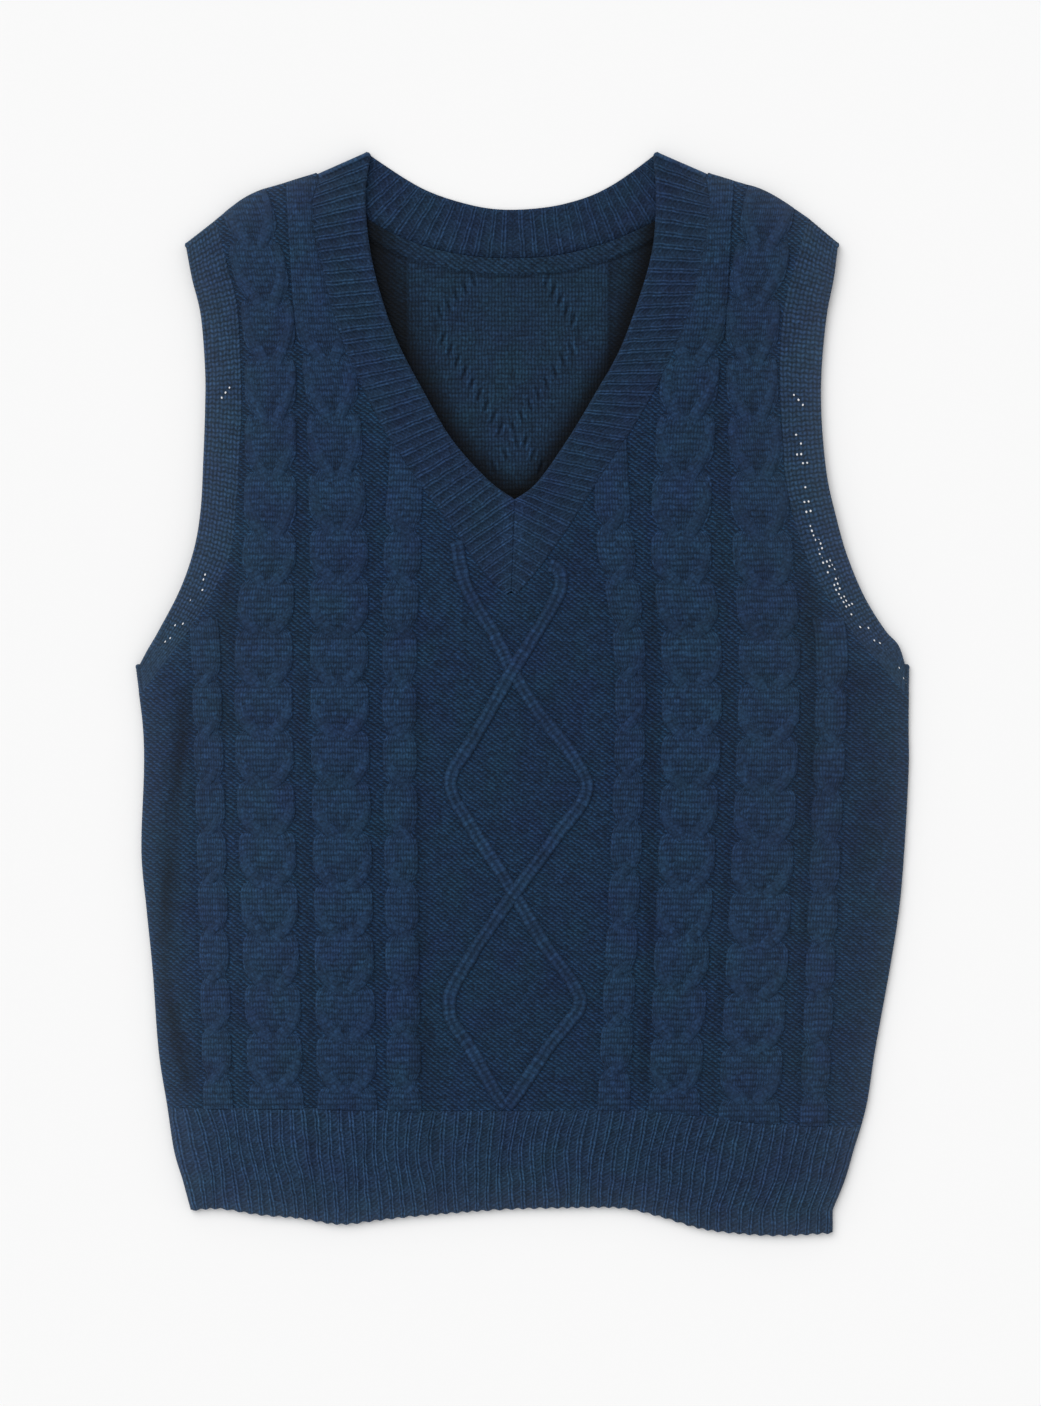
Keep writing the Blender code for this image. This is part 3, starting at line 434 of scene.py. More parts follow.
def crossings(lowest, highest, repeat):
    """Heights where a cable's strands cross, with one more above and below what shows."""
    heights = [lowest - 60.0, lowest]
    while heights[-1] < highest - 5.0:
        heights.append(heights[-1] + (repeat if heights[-1] < UPPER_FROM else UPPER_REPEAT))
    return np.array(heights + [heights[-1] + 140.0])


# ---------------------------------------------------------------- how the cloth lies
FILLED_FROM = 14.0      # distance from a fold or the lower edge where the front lies free
fold_gap = distance_to(FOLDS)
hem_gap = distance_to([HEM_LINE])


def puff(points):
    """How far the front stands off the back: softly filled, with dents and creases."""
    x, y = points.T
    high = 1.3 + 0.35 * np.sin(x / 31 + y / 47 + 0.7) + 0.3 * np.sin(y / 23 - x / 60)
    high += 0.2 * np.sin(x / 14 + 2 * np.sin(y / 38))
    # the neck stands up off the back, most of all at the point of the V
    high += 2.6 * np.exp(-((x + 5) / (25 + 0.42 * np.abs(y - 100))) ** 2 - ((y - 130) / 110) ** 2)
    for depth, half, _, line in CREASES:
        uneven = 0.75 + 0.25 * np.sin(y / 17 + depth * 9)
        high -= depth * uneven * soft_hump(nearest(points, smooth(line))[0], half)
    edge = np.minimum(fold_gap(points), hem_gap(points))
    return np.maximum(high, 0.0) * (1.0 - soft_hump(edge, FILLED_FROM))


lift = sampled(puff, 2.5)
ARM_EDGES = [smooth(seam_first(table))[:, 2:] for table in (LEFT_ARMHOLE, RIGHT_ARMHOLE)]
arm_gap = distance_to(ARM_EDGES)


def left_in_creases(points):
    """Share of the light that is left in the front's creases."""
    left = np.ones(len(points))
    for _, half, lost, line in CREASES:
        if lost:
            uneven = 0.75 + 0.25 * np.sin(points[:, 1] / 13 + half * 5)
            left *= 1.0 - lost * uneven * soft_hump(nearest(points, smooth(line))[0], half)
    return left


crease_light = sampled(left_in_creases, 1.5)


def pale_hair_and_painted_light(points):
    """How much of what shows is loose pale hair, and painted light at the edges and over the sides.
    """
    edge = np.minimum(np.minimum(fold_gap(points), hem_gap(points)), arm_gap(points))
    hair_and_light = EDGE_HAIR_AND_LIGHT * np.exp(-edge / EDGE_HAIR_AND_LIGHT_REACH)
    # pale hair and painted light: the sides, 70 to 215 mm out from the vest's middle, grow paler
    # and greyer more and more
    return hair_and_light + SIDE_HAIR_AND_LIGHT * soft_step(np.abs(points[:, 0] + 2.0), 70.0, 215.0)


def rounded(gap, wall=WALL, thinnest=0.3):
    """Thickness of the wall at a distance from a fold."""
    share = np.clip(gap / wall, 0.0, 1.0)
    return np.maximum(wall * np.sqrt(1.0 - (1.0 - share) ** 2), thinnest)


def front_level(points):
    """Height of the front's plain knit."""
    return FRONT_INSIDE + rounded(fold_gap(points)) + lift(points)


# ---------------------------------------------------------------- meshes
def trimmed(points, faces, outline):
    """Faces that reach inside an outline, with what is outside drawn in to it."""
    inside = within(points, outline)
    faces = faces[inside[faces].any(1)]
    outside = np.zeros(len(points), bool)
    outside[faces.ravel()] = True
    outside &= ~inside
    points = points.copy()
    points[outside] = nearest(points[outside], np.vstack((outline, outline[:1])))[1]
    return points, faces


def stitch_count(wale, course, knit, shape):
    """Wale, course, and 1 for knit or 0 for purl, at each point of a grid of this shape."""
    return np.stack([np.broadcast_to(v, shape) for v in (wale, course, knit)], -1).reshape(-1, 3)


def knit_mesh(name, points, faces, stitches, level=None, light=1.0, crisp=1.0, opened=None):
    """A piece from points in mm, faces, and each point's stitch count.

    An open piece is closed on a plane at the given level. light is the share of the light that
    the yarn keeps at each point, and crisp is how clearly its stitches show. opened is the share
    of the stitches with a pin-hole.
    """
    # painted light and shade at each point, with its fall-off to the right; pale hair with painted
    # light at the edges; and how clearly the stitches show
    painted_light_hair_crisp = np.zeros((len(points), 3))
    painted_light_hair_crisp[:, 0] = light * (1.0 - FALL_OFF * (points[:, 0] - FULL_LIGHT_AT))
    painted_light_hair_crisp[:, 1] = pale_hair_and_painted_light(points[:, :2])
    painted_light_hair_crisp[:, 2] = crisp
    used, faces = np.unique(faces, return_inverse=True)
    mesh = bpy.data.meshes.new(name)
    placed = points[used]
    placed[:, :2] -= CENTRE
    mesh.from_pydata(placed * MM, [], faces.reshape(-1, 4).tolist())
    for label, values in (("stitches", stitches), ("painted_light_hair_and_crisp", painted_light_hair_crisp)):
        kept = mesh.attributes.new(label, "FLOAT_VECTOR", "POINT")
        kept.data.foreach_set("vector", values[used].astype(np.float32).ravel())
    if opened is not None:
        kept = mesh.attributes.new("opened", "FLOAT", "POINT")
        kept.data.foreach_set("value", opened[used].astype(np.float32))
    bm = bmesh.new()
    bm.from_mesh(mesh)
    bmesh.ops.remove_doubles(bm, verts=bm.verts, dist=WELD * MM)
    bmesh.ops.dissolve_degenerate(bm, edges=bm.edges, dist=LEAST_EDGE * MM)
    if level is not None:
        close_below(bm, level * MM)
    bmesh.ops.holes_fill(bm, edges=[edge for edge in bm.edges if edge.is_boundary])
    bmesh.ops.recalc_face_normals(bm, faces=bm.faces)
    bm.to_mesh(mesh)
    bm.free()
    mesh.shade_smooth()
    piece = bpy.data.objects.new(name, mesh)
    bpy.context.scene.collection.objects.link(piece)
    return piece


def close_below(bm, level):
    """Take an open relief's rim down to a plane and close it there."""
    layers = [bm.verts.layers.float_vector[name] for name in ("stitches", "painted_light_hair_and_crisp")]
    links = {}
    for edge in bm.edges:
        if edge.is_boundary:
            loop = edge.link_loops[0]
            links[loop.vert] = loop.link_loop_next.vert
    while links:
        start = next(iter(links))
        ring = [start]
        while links.get(ring[-1]) not in (start, None):
            ring.append(links.pop(ring[-1]))
        links.pop(ring[-1], None)
        if len(ring) < 3:
            continue
        low = []
        for vert in ring:
            below = bm.verts.new((vert.co.x, vert.co.y, level))
            for layer in layers:
                below[layer] = vert[layer]
            low.append(below)
        for index, vert in enumerate(ring):
            after = (index + 1) % len(ring)
            bm.faces.new((vert, low[index], low[after], ring[after]))
        bm.faces.new(low)


def grid_faces(rows, columns, around=False, closed=False):
    """Faces between rows of points. around joins the last column to the first, closed the rows."""
    row = np.arange(rows if closed else rows - 1)
    column = np.arange(columns if around else columns - 1)
    a = (row[:, None] * columns + column).ravel()
    b = (row[:, None] * columns + (column + 1) % columns).ravel()
    up = ((row + 1) % rows)[:, None]
    c = (up * columns + (column + 1) % columns).ravel()
    d = (up * columns + column).ravel()
    return np.stack((a, b, c, d), 1)


def laid_grid(outline, across, up):
    """A grid of points over an outline, trimmed to it."""
    x, y = np.meshgrid(across, up)
    points = np.stack((x.ravel(), y.ravel()), 1)
    return trimmed(points, grid_faces(len(up), len(across)), outline)


# ---------------------------------------------------------------- yarn
def linear(colour):
    """Linear colour from sRGB hex."""
    parts = [int(colour[n:n + 2], 16) / 255 for n in (1, 3, 5)]
    return tuple(part / 12.92 if part <= 0.04045 else ((part + 0.055) / 1.055) ** 2.4
                 for part in parts) + (1.0,)


def add(tree, kind, inputs=(), **settings):
    """One node with its settings. Inputs are values, or the nodes and sockets they come from."""
    node = tree.nodes.new("ShaderNode" + kind)
    for name, value in settings.items():
        setattr(node, name, value)
    named = inputs.items() if isinstance(inputs, dict) else enumerate(inputs)
    for key, value in named:
        if isinstance(value, bpy.types.Node):
            value = value.outputs[0]
        if isinstance(value, bpy.types.NodeSocket):
            tree.links.new(value, node.inputs[key])
        elif value is not None:
            node.inputs[key].default_value = value
    return node


PURL_LEAN = 0.32        # the yarn is spun one way, which turns every purl bar a little
PURL_BEND = 0.6         # a bar's ends bend up in one set and down in the other
BAR_THIN = 10.0         # how fast a bar fades up and down, and towards its ends
BAR_SHORT = 4.8
MIDDLE_TONE = 0.47      # of a face whose stitches are too close or too tight to tell apart
PALE_HAIR_AND_LIGHT = "#93A2B2"        # colour of the loose hairs, and of the painted light at the vest's edges and sides
TABLE_WHITE = "#F4F4F4"
# Pin-holes of about 1 mm: what a half wale and a course measure in a hole's radius.
HOLE_ACROSS = 2.1 / 0.52
HOLE_UP = 2.8 / 0.7
HOLE_CLEAR = 0.85       # share of the table, painted pale, that shows through one
# Scales of the noise in the yarn, to a stitch or to a metre.
WANDER = 0.35           # the loops wander over about three stitches
DYE_DRIFT = 45.0        # patches of dye about 22 mm across
FIBRES = 750.0          # flecks of fibre 1.3 mm long


def knit_face(tree, wale, course, slant, courses, wales):
    """Two legs to a wale, slanting up and outwards, with a gap between courses."""
    side = add(tree, "Math", (wale,), operation="FRACT")
    side = add(tree, "Math", (side, 0.5), operation="SUBTRACT")
    side = add(tree, "Math", (side,), operation="ABSOLUTE")
    leg = add(tree, "Math", (side, -slant, course), operation="MULTIPLY_ADD")
    leg = add(tree, "Math", (leg,), operation="FRACT")
    leg = add(tree, "Math", (leg, 2.0, -1.0), operation="MULTIPLY_ADD")
    leg = add(tree, "Math", (leg, leg), operation="MULTIPLY")
    across = add(tree, "Math", (side, 4.0, -1.0), operation="MULTIPLY_ADD")
    across = add(tree, "Math", (across, across), operation="MULTIPLY")
    across = add(tree, "Math", (across, wales), operation="MULTIPLY")
    loss = add(tree, "Math", (leg, courses, across), operation="MULTIPLY_ADD")
    return add(tree, "Math", (1.0, loss), operation="SUBTRACT", use_clamp=True)


def purl_face(tree, wale, course):
    """Bars one wale wide, every second set moved by half a stitch both ways."""
    bars = []
    for offset, bend in ((0.0, PURL_BEND), (0.5, -PURL_BEND)):
        a = add(tree, "Math", (wale, offset), operation="ADD")
        a = add(tree, "Math", (a,), operation="FRACT")
        a = add(tree, "Math", (a, 0.5), operation="SUBTRACT")
        b = add(tree, "Math", (course, offset), operation="ADD")
        b = add(tree, "Math", (a, PURL_LEAN, b), operation="MULTIPLY_ADD")
        a = add(tree, "Math", (a, a), operation="MULTIPLY")
        b = add(tree, "Math", (a, bend, b), operation="MULTIPLY_ADD")
        b = add(tree, "Math", (b,), operation="FRACT")
        b = add(tree, "Math", (b, 0.5), operation="SUBTRACT")
        b = add(tree, "Math", (b, b), operation="MULTIPLY")
        a = add(tree, "Math", (a, BAR_SHORT), operation="MULTIPLY")
        loss = add(tree, "Math", (b, BAR_THIN, a), operation="MULTIPLY_ADD")
        bars.append(add(tree, "Math", (1.0, loss), operation="SUBTRACT", use_clamp=True))
    return add(tree, "Math", bars, operation="MAXIMUM")


def pin_holes(tree, wale, course):
    """Where a pin-hole opens: some of the places between stitches, drawn by the opened share."""
    half_wale = add(tree, "Math", (wale, 2.0), operation="MULTIPLY")
    spot = add(tree, "CombineXYZ", (half_wale, course, 0.0))
    spot = add(tree, "VectorMath", (spot,), operation="FLOOR")
    drawn = add(tree, "TexWhiteNoise", {"Vector": spot})
    opened = add(tree, "Attribute", attribute_name="opened").outputs["Fac"]
    there = add(tree, "Math", (drawn.outputs["Value"], opened), operation="LESS_THAN")
    squares = []
    for place, size in ((half_wale, HOLE_ACROSS), (course, HOLE_UP)):
        a = add(tree, "Math", (place,), operation="FRACT")
        a = add(tree, "Math", (a, 0.5), operation="SUBTRACT")
        a = add(tree, "Math", (a, size), operation="MULTIPLY")
        squares.append(add(tree, "Math", (a, a), operation="MULTIPLY"))
    gap = add(tree, "Math", squares, operation="ADD")
    hole = add(tree, "MapRange", {0: gap, 1: 1.0, 2: 0.5, 3: 0.0, 4: HOLE_CLEAR})
    return add(tree, "Math", (hole, there), operation="MULTIPLY")


def wool(name, yarn, shade, relief, slant=0.5, purl_tone=1.0, courses=1.0, wales=0.7,
         uneven=0.18, holes=False):
    """Knitted wool: a matt, slightly hairy yarn in loops, dyed one dark navy.

    Knit stitches are rows of small Vs, purl stitches are staggered bars. The hollows between
    them are painted in the shade colour, as painted shade, each stitch differs a little, and the
    dye drifts between blue and teal. relief is the height of a stitch in mm, courses and wales are
    how dark the painted shade in the gaps between them is, and purl_tone is the light that purl
    stitches keep, as painted shade.
    """
    made = bpy.data.materials.new(name)
    made.use_nodes = True
    tree = made.node_tree
    shader = tree.nodes["Principled BSDF"]
    counted = add(tree, "Attribute", attribute_name="stitches").outputs["Vector"]
    # the mesh's painted light and shade, its pale hair with painted edge light, and its crispness
    painted_light_hair_crisp = add(tree, "Attribute", attribute_name="painted_light_hair_and_crisp").outputs["Vector"]
    kept, hair_and_light, crisp = add(tree, "SeparateXYZ", (painted_light_hair_crisp,)).outputs
    # no two loops are alike: they wander by up to a third of a stitch
    wander = add(tree, "TexNoise", {"Vector": counted, "Scale": WANDER, "Detail": 1.0})
    wander = add(tree, "VectorMath", (wander.outputs["Color"], (0.5, 0.5, 0.5)),
                 operation="SUBTRACT")
    wander = add(tree, "VectorMath", (wander, (0.5, 0.7, 0.0)), operation="MULTIPLY")
    placed = add(tree, "VectorMath", (counted, wander), operation="ADD")
    wale, course, knit = add(tree, "SeparateXYZ", (placed,)).outputs

    bars = purl_face(tree, wale, course).outputs[0]
    vees = knit_face(tree, wale, course, slant, courses, wales).outputs[0]
    face = add(tree, "Mix", {0: knit, 2: bars, 3: vees}, data_type="FLOAT").outputs[0]
    face = add(tree, "Mix", {0: crisp, 2: MIDDLE_TONE, 3: face}, data_type="FLOAT").outputs[0]

    # stitch by stitch, and over a few centimetres, the dye takes a little differently
    whole = add(tree, "VectorMath", (placed,), operation="FLOOR")
    stitch = add(tree, "TexWhiteNoise", {"Vector": whole}).outputs["Value"]
    space = add(tree, "TexCoord").outputs["Object"]
    drift = add(tree, "TexNoise", {"Vector": space, "Scale": DYE_DRIFT, "Detail": 3.0})
    fleck = add(tree, "TexNoise", {"Vector": space, "Scale": FIBRES, "Detail": 2.0})
    dyed = add(tree, "Mix", {0: face, 6: linear(shade), 7: linear(yarn)}, data_type="RGBA")
    light = add(tree, "MapRange", {0: stitch, 3: 1.0 - uneven, 4: 1.0 + uneven})
    fibres = add(tree, "MapRange", {0: fleck, 1: 0.3, 2: 0.7, 3: 0.6, 4: 1.4})
    purl = add(tree, "MapRange", {0: knit, 3: purl_tone, 4: 1.0})
    # random flecks, the purl stitches' painted shade, and the painted light and shade kept on the
    # mesh
    for more in (fibres, purl, kept):
        light = add(tree, "Math", (light, more), operation="MULTIPLY")
    hue = add(tree, "MapRange", {0: drift, 1: 0.3, 2: 0.7, 3: 0.489, 4: 0.507})
    dyed = add(tree, "HueSaturation", {"Hue": hue, "Value": light, "Color": dyed.outputs[2]})
    # pale hair, with painted light at the edges and over the sides
    dyed = add(tree, "Mix", {0: hair_and_light, 6: dyed, 7: linear(PALE_HAIR_AND_LIGHT)}, data_type="RGBA").outputs[2]
    if holes:
        # holes left where the armhole's edge was narrowed, with the table seen through them painted
        # pale: painted light, as beneath the vest the table lies in shade
        hole = pin_holes(tree, wale, course)
        dyed = add(tree, "Mix", {0: hole, 6: dyed, 7: linear(TABLE_WHITE)}, data_type="RGBA")
        dyed = dyed.outputs[2]
    tree.links.new(dyed, shader.inputs["Base Color"])

    height = add(tree, "Math", (fleck, 0.25, face), operation="MULTIPLY_ADD")
    bump = add(tree, "Bump", {"Strength": 1.0, "Distance": relief * MM, "Height": height})
    tree.links.new(bump.outputs[0], shader.inputs["Normal"])
    # wool scatters light: no gloss, and a faint blue sheen from the fibres at a low angle
    for socket, value in (("Roughness", 0.9), ("Specular IOR Level", 0.2), ("IOR", 1.5),
                          ("Sheen Weight", 0.12), ("Sheen Roughness", 0.4),
                          ("Sheen Tint", linear("#7FA0C8"))):
        shader.inputs[socket].default_value = value
    return made


# The purl ground: deep blue, with the strongest grain of bumps, as its bars stand up.
PANEL_WOOL = wool("knitted_wool_panel", "#1B3858", "#0D1E33", 0.7)
# Cables and lattice: drawn tight and smooth, a little lighter, each row of stitches clear.
CABLE_WOOL = wool("knitted_wool_cable", "#1E3756", "#12253C", 0.4, slant=0.3, uneven=0.22)
# The reverse of the back: flat and dull, with fine level rows.
BACK_WOOL = wool("knitted_wool_back", "#1A324B", "#0E1F30", 0.3, slant=0.3, courses=0.75,
                 wales=0.9)
# Armhole bands: knitted looser, in a lighter, greyer blue, as painted light along the vest's edges.
ARMHOLE_WOOL = wool("knitted_wool_armhole", "#263F5F", "#132435", 0.45, holes=True)
# Ribs: light ridges in lines, with painted shade in the purl hollows between them. The hem is the
# lightest.
BAND_WOOL = wool("knitted_wool_band_rib", "#223A5A", "#122338", 0.35, purl_tone=0.76,
                 courses=0.4, wales=1.0)
HEM_WOOL = wool("knitted_wool_hem_rib", "#2A4669", "#112236", 0.4, purl_tone=0.78,
                courses=0.45, wales=1.0)


# ---------------------------------------------------------------- neckband and armhole bands
ON_TOP = math.pi / 2    # how far a layer is turned about a fold: on the front, and between
TURNS = [math.radians(angle) for angle in (60, 30, 0, -30, -60)]
EDGE_TURNS = np.radians((72, 48, 24, 0, -24, -48, -72))
LEFT_OUT = out_of(np.array(LEFT_NECK[0]))       # out of the vest at the shoulder's neck end
RIGHT_OUT = out_of(np.array(RIGHT_NECK[0]))
TO_LEFT = np.array((-1.0, 0.0))
TO_RIGHT = np.array((1.0, 0.0))
NO_FOLD = np.zeros((1, 2))
INSIDE_COLUMNS = 5      # of a band's mesh on its plain side


def fold_axis(row, outward, reach):
    """A row on the silhouette, moved in to the axis of the fold there."""
    return np.array(row) - np.tile(outward, 2) * reach


def neck_plan():
    """Rows of the neckband: up the left from the mitre, along the back, down the right."""
    reach = MIDDLE + BAND_RIB
    left_axis = fold_axis(LEFT_NECK[0], LEFT_OUT, reach)
    right_axis = fold_axis(RIGHT_NECK[0], RIGHT_OUT, reach)

    def spread(rows):
        """Rows at even steps, a whole number of ribs. A row holds two points, hence the root."""
        line = smooth(rows)
        ribs = max(1, round(along_line(line)[-1] / math.sqrt(2) / BAND_RIB_PITCH))
        return spaced(line, ribs * COLUMNS_PER_RIB)

    up_left = np.vstack((spread(LEFT_MITRE)[::-1], spread([left_axis, *LEFT_NECK[1:]])[::-1][1:]))
    back = spread([left_axis, *BACK_NECK[1:-1], right_axis])
    down_right = np.vstack((spread([right_axis, *RIGHT_NECK[1:]]), spread(RIGHT_MITRE)[1:]))
    for rows, lap in ((up_left, MITRE_LAP), (down_right, -MITRE_LAP)):
        rows[:, 2] += lap * soft_step(V_POINT - rows[:, 3], -8.0, 2.0)
    return up_left, back, down_right


UP_LEFT, BACK_BAND, DOWN_RIGHT = neck_plan()


def from_rib(wale):
    """Distance from the middle of a rib's knit wale."""
    return np.abs(np.mod(wale, WALES_PER_RIB) - WALES_PER_RIB / 2)


def rib_rise(wale, height, apart):
    """Rise over a rib: the two legs of its knit wale as ridges, and its purl wale as a hollow."""
    across = from_rib(wale)
    ridge = np.sqrt(np.clip(1.0 - ((across - apart) / LEG_HALF) ** 2, 0.0, 1.0))
    return height * np.maximum(ridge, BETWEEN_LEGS * (across < apart))


def rib_knit(wale):
    """1 on a rib's knit wale, 0 on its purl one."""
    return (from_rib(wale) <= 1.01).astype(float)


def rib_crisp(knit):
    """How clearly a rib's stitches show."""
    return PURL_CRISP + (1.0 - PURL_CRISP) * knit


def laid_round(parts):
    """Rows of a band, their turn about a fold and the way out of it, from a list of its parts."""
    rows, turns, outward = zip(*parts)
    sizes = [len(part) for part in rows]
    return np.vstack(rows), np.repeat(turns, sizes), np.repeat(np.vstack(outward), sizes, 0)


def band_points(rows, turns, outward, outer_rise, inner_rise, across_count):
    """Rings of points across a band, over its outside, round the free edge and back.

    outer_rise and inner_rise are functions of the row's number, the distance from the seam and
    the band's width there. Returns points, and the distance from the seam of each.
    """
    seam, edge = rows[:, :2], rows[:, 2:]
    width = np.linalg.norm(edge - seam, axis=1)[:, None]
    near = 1.0 - np.minimum(EDGE_ROUND / width, 0.45)
    over = np.linspace(0.0, 1.0, across_count)
    back = np.linspace(1.0, 0.0, INSIDE_COLUMNS)
    share = np.hstack((near * over, near + (1.0 - near) * np.cos(EDGE_TURNS), near * back))
    side = np.concatenate((np.ones(across_count), np.sin(EDGE_TURNS), -np.ones(INSIDE_COLUMNS)))
    middle = (MIDDLE + FOLD_INSIDE) / 2
    index = np.arange(len(rows))[:, None]
    # what is underneath rests flat, so the relief of a fold fades on its way down there
    above = np.clip(0.5 + np.sin(turns)[:, None], 0.0, 1.0)
    outer = MIDDLE + outer_rise(index, share * width, width) * above
    inner = FOLD_INSIDE + inner_rise(index, share * width, width)
    radius = middle + (outer - middle) * np.maximum(side, 0.0)
    radius += (middle - inner) * np.minimum(side, 0.0)
    place = seam[:, None] + (edge - seam)[:, None] * share[..., None]
    flat_turn = np.cos(turns)[:, None]
    points = np.empty(share.shape + (3,))
    points[..., 0] = place[..., 0] + outward[:, :1] * flat_turn * radius
    points[..., 1] = place[..., 1] + outward[:, 1:] * flat_turn * radius
    points[..., 2] = MIDDLE + np.sin(turns)[:, None] * radius
    on_top = turns > 1.5
    raised = lift(place[on_top].reshape(-1, 2)).reshape(share[on_top].shape)
    points[on_top, :, 2] += raised
    return points, share * width


def neckband():
    """One ribbed strip round the neck, folded at the shoulders and mitred at the V."""
    parts = [(UP_LEFT, ON_TOP, NO_FOLD)]
    parts += [(UP_LEFT[-1:], turn, LEFT_OUT[None]) for turn in TURNS]
    parts += [(BACK_BAND, -ON_TOP, NO_FOLD)]
    parts += [(BACK_BAND[-1:], turn, RIGHT_OUT[None]) for turn in TURNS[::-1]]
    parts += [(DOWN_RIGHT, ON_TOP, NO_FOLD)]
    rows, turns, outward = laid_round(parts)
    # the ribs are counted both ways from the mitre, with a knit wale on each side of it
    column = np.arange(len(rows))
    half = len(UP_LEFT) + len(TURNS) + len(BACK_BAND) // 2
    column = np.where(column < half, column, len(rows) - 1 - column)
    wale = column * WALES_PER_RIB / COLUMNS_PER_RIB + 1.2
    under = turns < -1.5
    # the ribs are stretched flat towards the foot of the mitre
    strength = 0.5 + 0.5 * soft_step(rows[:, 3], MITRE_FOOT, V_POINT)
    strength = np.where(turns > 1.5, strength, 1.0)

    def rim(distance, width):
        bound_off = 0.7 * soft_hump(width - 1.6 - distance, 0.8)
        linked = 0.7 * soft_hump(distance - 0.9, 0.7)
        return bound_off + linked

    def ribs(index, distance, width):
        ends = soft_step(distance, 0.4, 2.4) * soft_step(width - distance, 0.2, 2.2)
        rise = rib_rise(wale[index], BAND_RIB, BAND_APART) * ends * strength[index]
        return np.maximum(rise, rim(distance, width))

    def outside(index, distance, width):
        return np.where(under[index], 0.0, ribs(index, distance, width))

    def inside(index, distance, width):
        sunk = BAND_RIB - ribs(index, distance, width)
        return np.where(under[index], np.maximum(sunk, 0.0), 0.0)

    points, distance = band_points(rows, turns, outward, outside, inside, 22)
    counted = stitch_count((wale[:, None] + 1.0) / 2, distance / RIB_COURSE,
                           rib_knit(wale)[:, None], distance.shape)
    points = points.reshape(-1, 3)
    # the stitches along the mitre are drawn up, so they catch more light
    beside = np.abs(points[:, 0] - MITRE_MIDDLE) - 4.2
    light = 1.0 + MITRE_LIGHT * soft_hump(beside, 2.8) * soft_step(points[:, 1], MITRE_FOOT, 94.0)
    light = np.where(points[:, 1] < V_POINT + 2.0, light, 1.0)
    return knit_mesh("neckband_rib", points, grid_faces(*distance.shape, around=True), counted,
                     light=light, crisp=rib_crisp(counted[:, 2]))


def armhole_band(name, table, side_out, opened):
    """A plain knit ring round an armhole, folded at the shoulder and at the underarm.

    opened is the share of the stitches along its middle with a pin-hole, against the height.
    """
    rows = seam_first(table)
    shoulder_out = out_of(rows[-1])
    rows[0] = fold_axis(rows[0], side_out, MIDDLE)
    rows[-1] = fold_axis(rows[-1], shoulder_out, MIDDLE)
    line = smooth(rows)
    run = spaced(line, round(along_line(line)[-1] / math.sqrt(2) / MESH_STEP))
    parts = [(run, ON_TOP, NO_FOLD)]
    parts += [(run[-1:], turn, shoulder_out[None]) for turn in TURNS]
    parts += [(run[::-1], -ON_TOP, NO_FOLD)]
    parts += [(run[:1], turn, side_out[None]) for turn in TURNS[::-1]]
    rows, turns, outward = laid_round(parts)
    under = turns < -1.5

    def outside(index, distance, width):
        leg = distance / width * ARMHOLE_WALES * 2
        wales = 0.35 * np.abs(np.sin(np.pi * leg)) ** 0.6 - 0.35
        edge = 0.5 * soft_hump(width - 1.3 - distance, 0.8)
        return np.where(under[index], 0.0, wales + edge)

    def inside(index, distance, width):
        return np.zeros(distance.shape)

    points, distance = band_points(rows, turns, outward, outside, inside, ARMHOLE_WALES * 8 + 1)
    points = points.reshape(-1, 3)
    share = distance / distance.max(1, keepdims=True)
    course = np.arange(len(rows))[:, None] * MESH_STEP / COURSE
    counted = stitch_count(share * ARMHOLE_WALES, course, 1.0, distance.shape)
    faces = grid_faces(*distance.shape, around=True, closed=True)
    middle = soft_hump(share - 0.42, 0.13, 4).ravel()
    # at the underarm the courses are squeezed together, too close to tell apart
    crisp = 0.35 + 0.65 * soft_step(points[:, 1], 14.0, 44.0)
    heights, shares = np.array(opened).T
    return knit_mesh(name, points, faces, counted, crisp=crisp,
                     opened=middle * np.interp(points[:, 1], heights, shares))


# ---------------------------------------------------------------- hem ribs
def hem_seam(offset):
    """Top of the hem rib, moved up or down by an offset, with its ends on the side folds."""
    line = smooth(HEM_TOP) + (0.0, offset)
    line[0, 0] = sides_at(line[0, 1])[0]
    line[-1, 0] = sides_at(line[-1, 1])[1]
    return line


def hem_grid(across, down):
    """Places over the hem rib, for shares across it and down it."""
    top, bottom = (spaced(line, 400) for line in (hem_seam(0.0), HEM_LINE))
    shares = np.linspace(0.0, 1.0, 401)
    high, low = (np.interp(across, shares, line[:, 1]) for line in (top, bottom))
    y = high + (low - high) * down
    left, right = sides_at(y)
    return left + (right - left) * across, y


def edge_round(distance, width, least=0.2):
    """Share of the wall that is left at a distance from a rounded edge."""
    share = np.clip(distance / width, 0.0, 1.0)
    return np.maximum(np.sqrt(1.0 - (1.0 - share) ** 2), least)


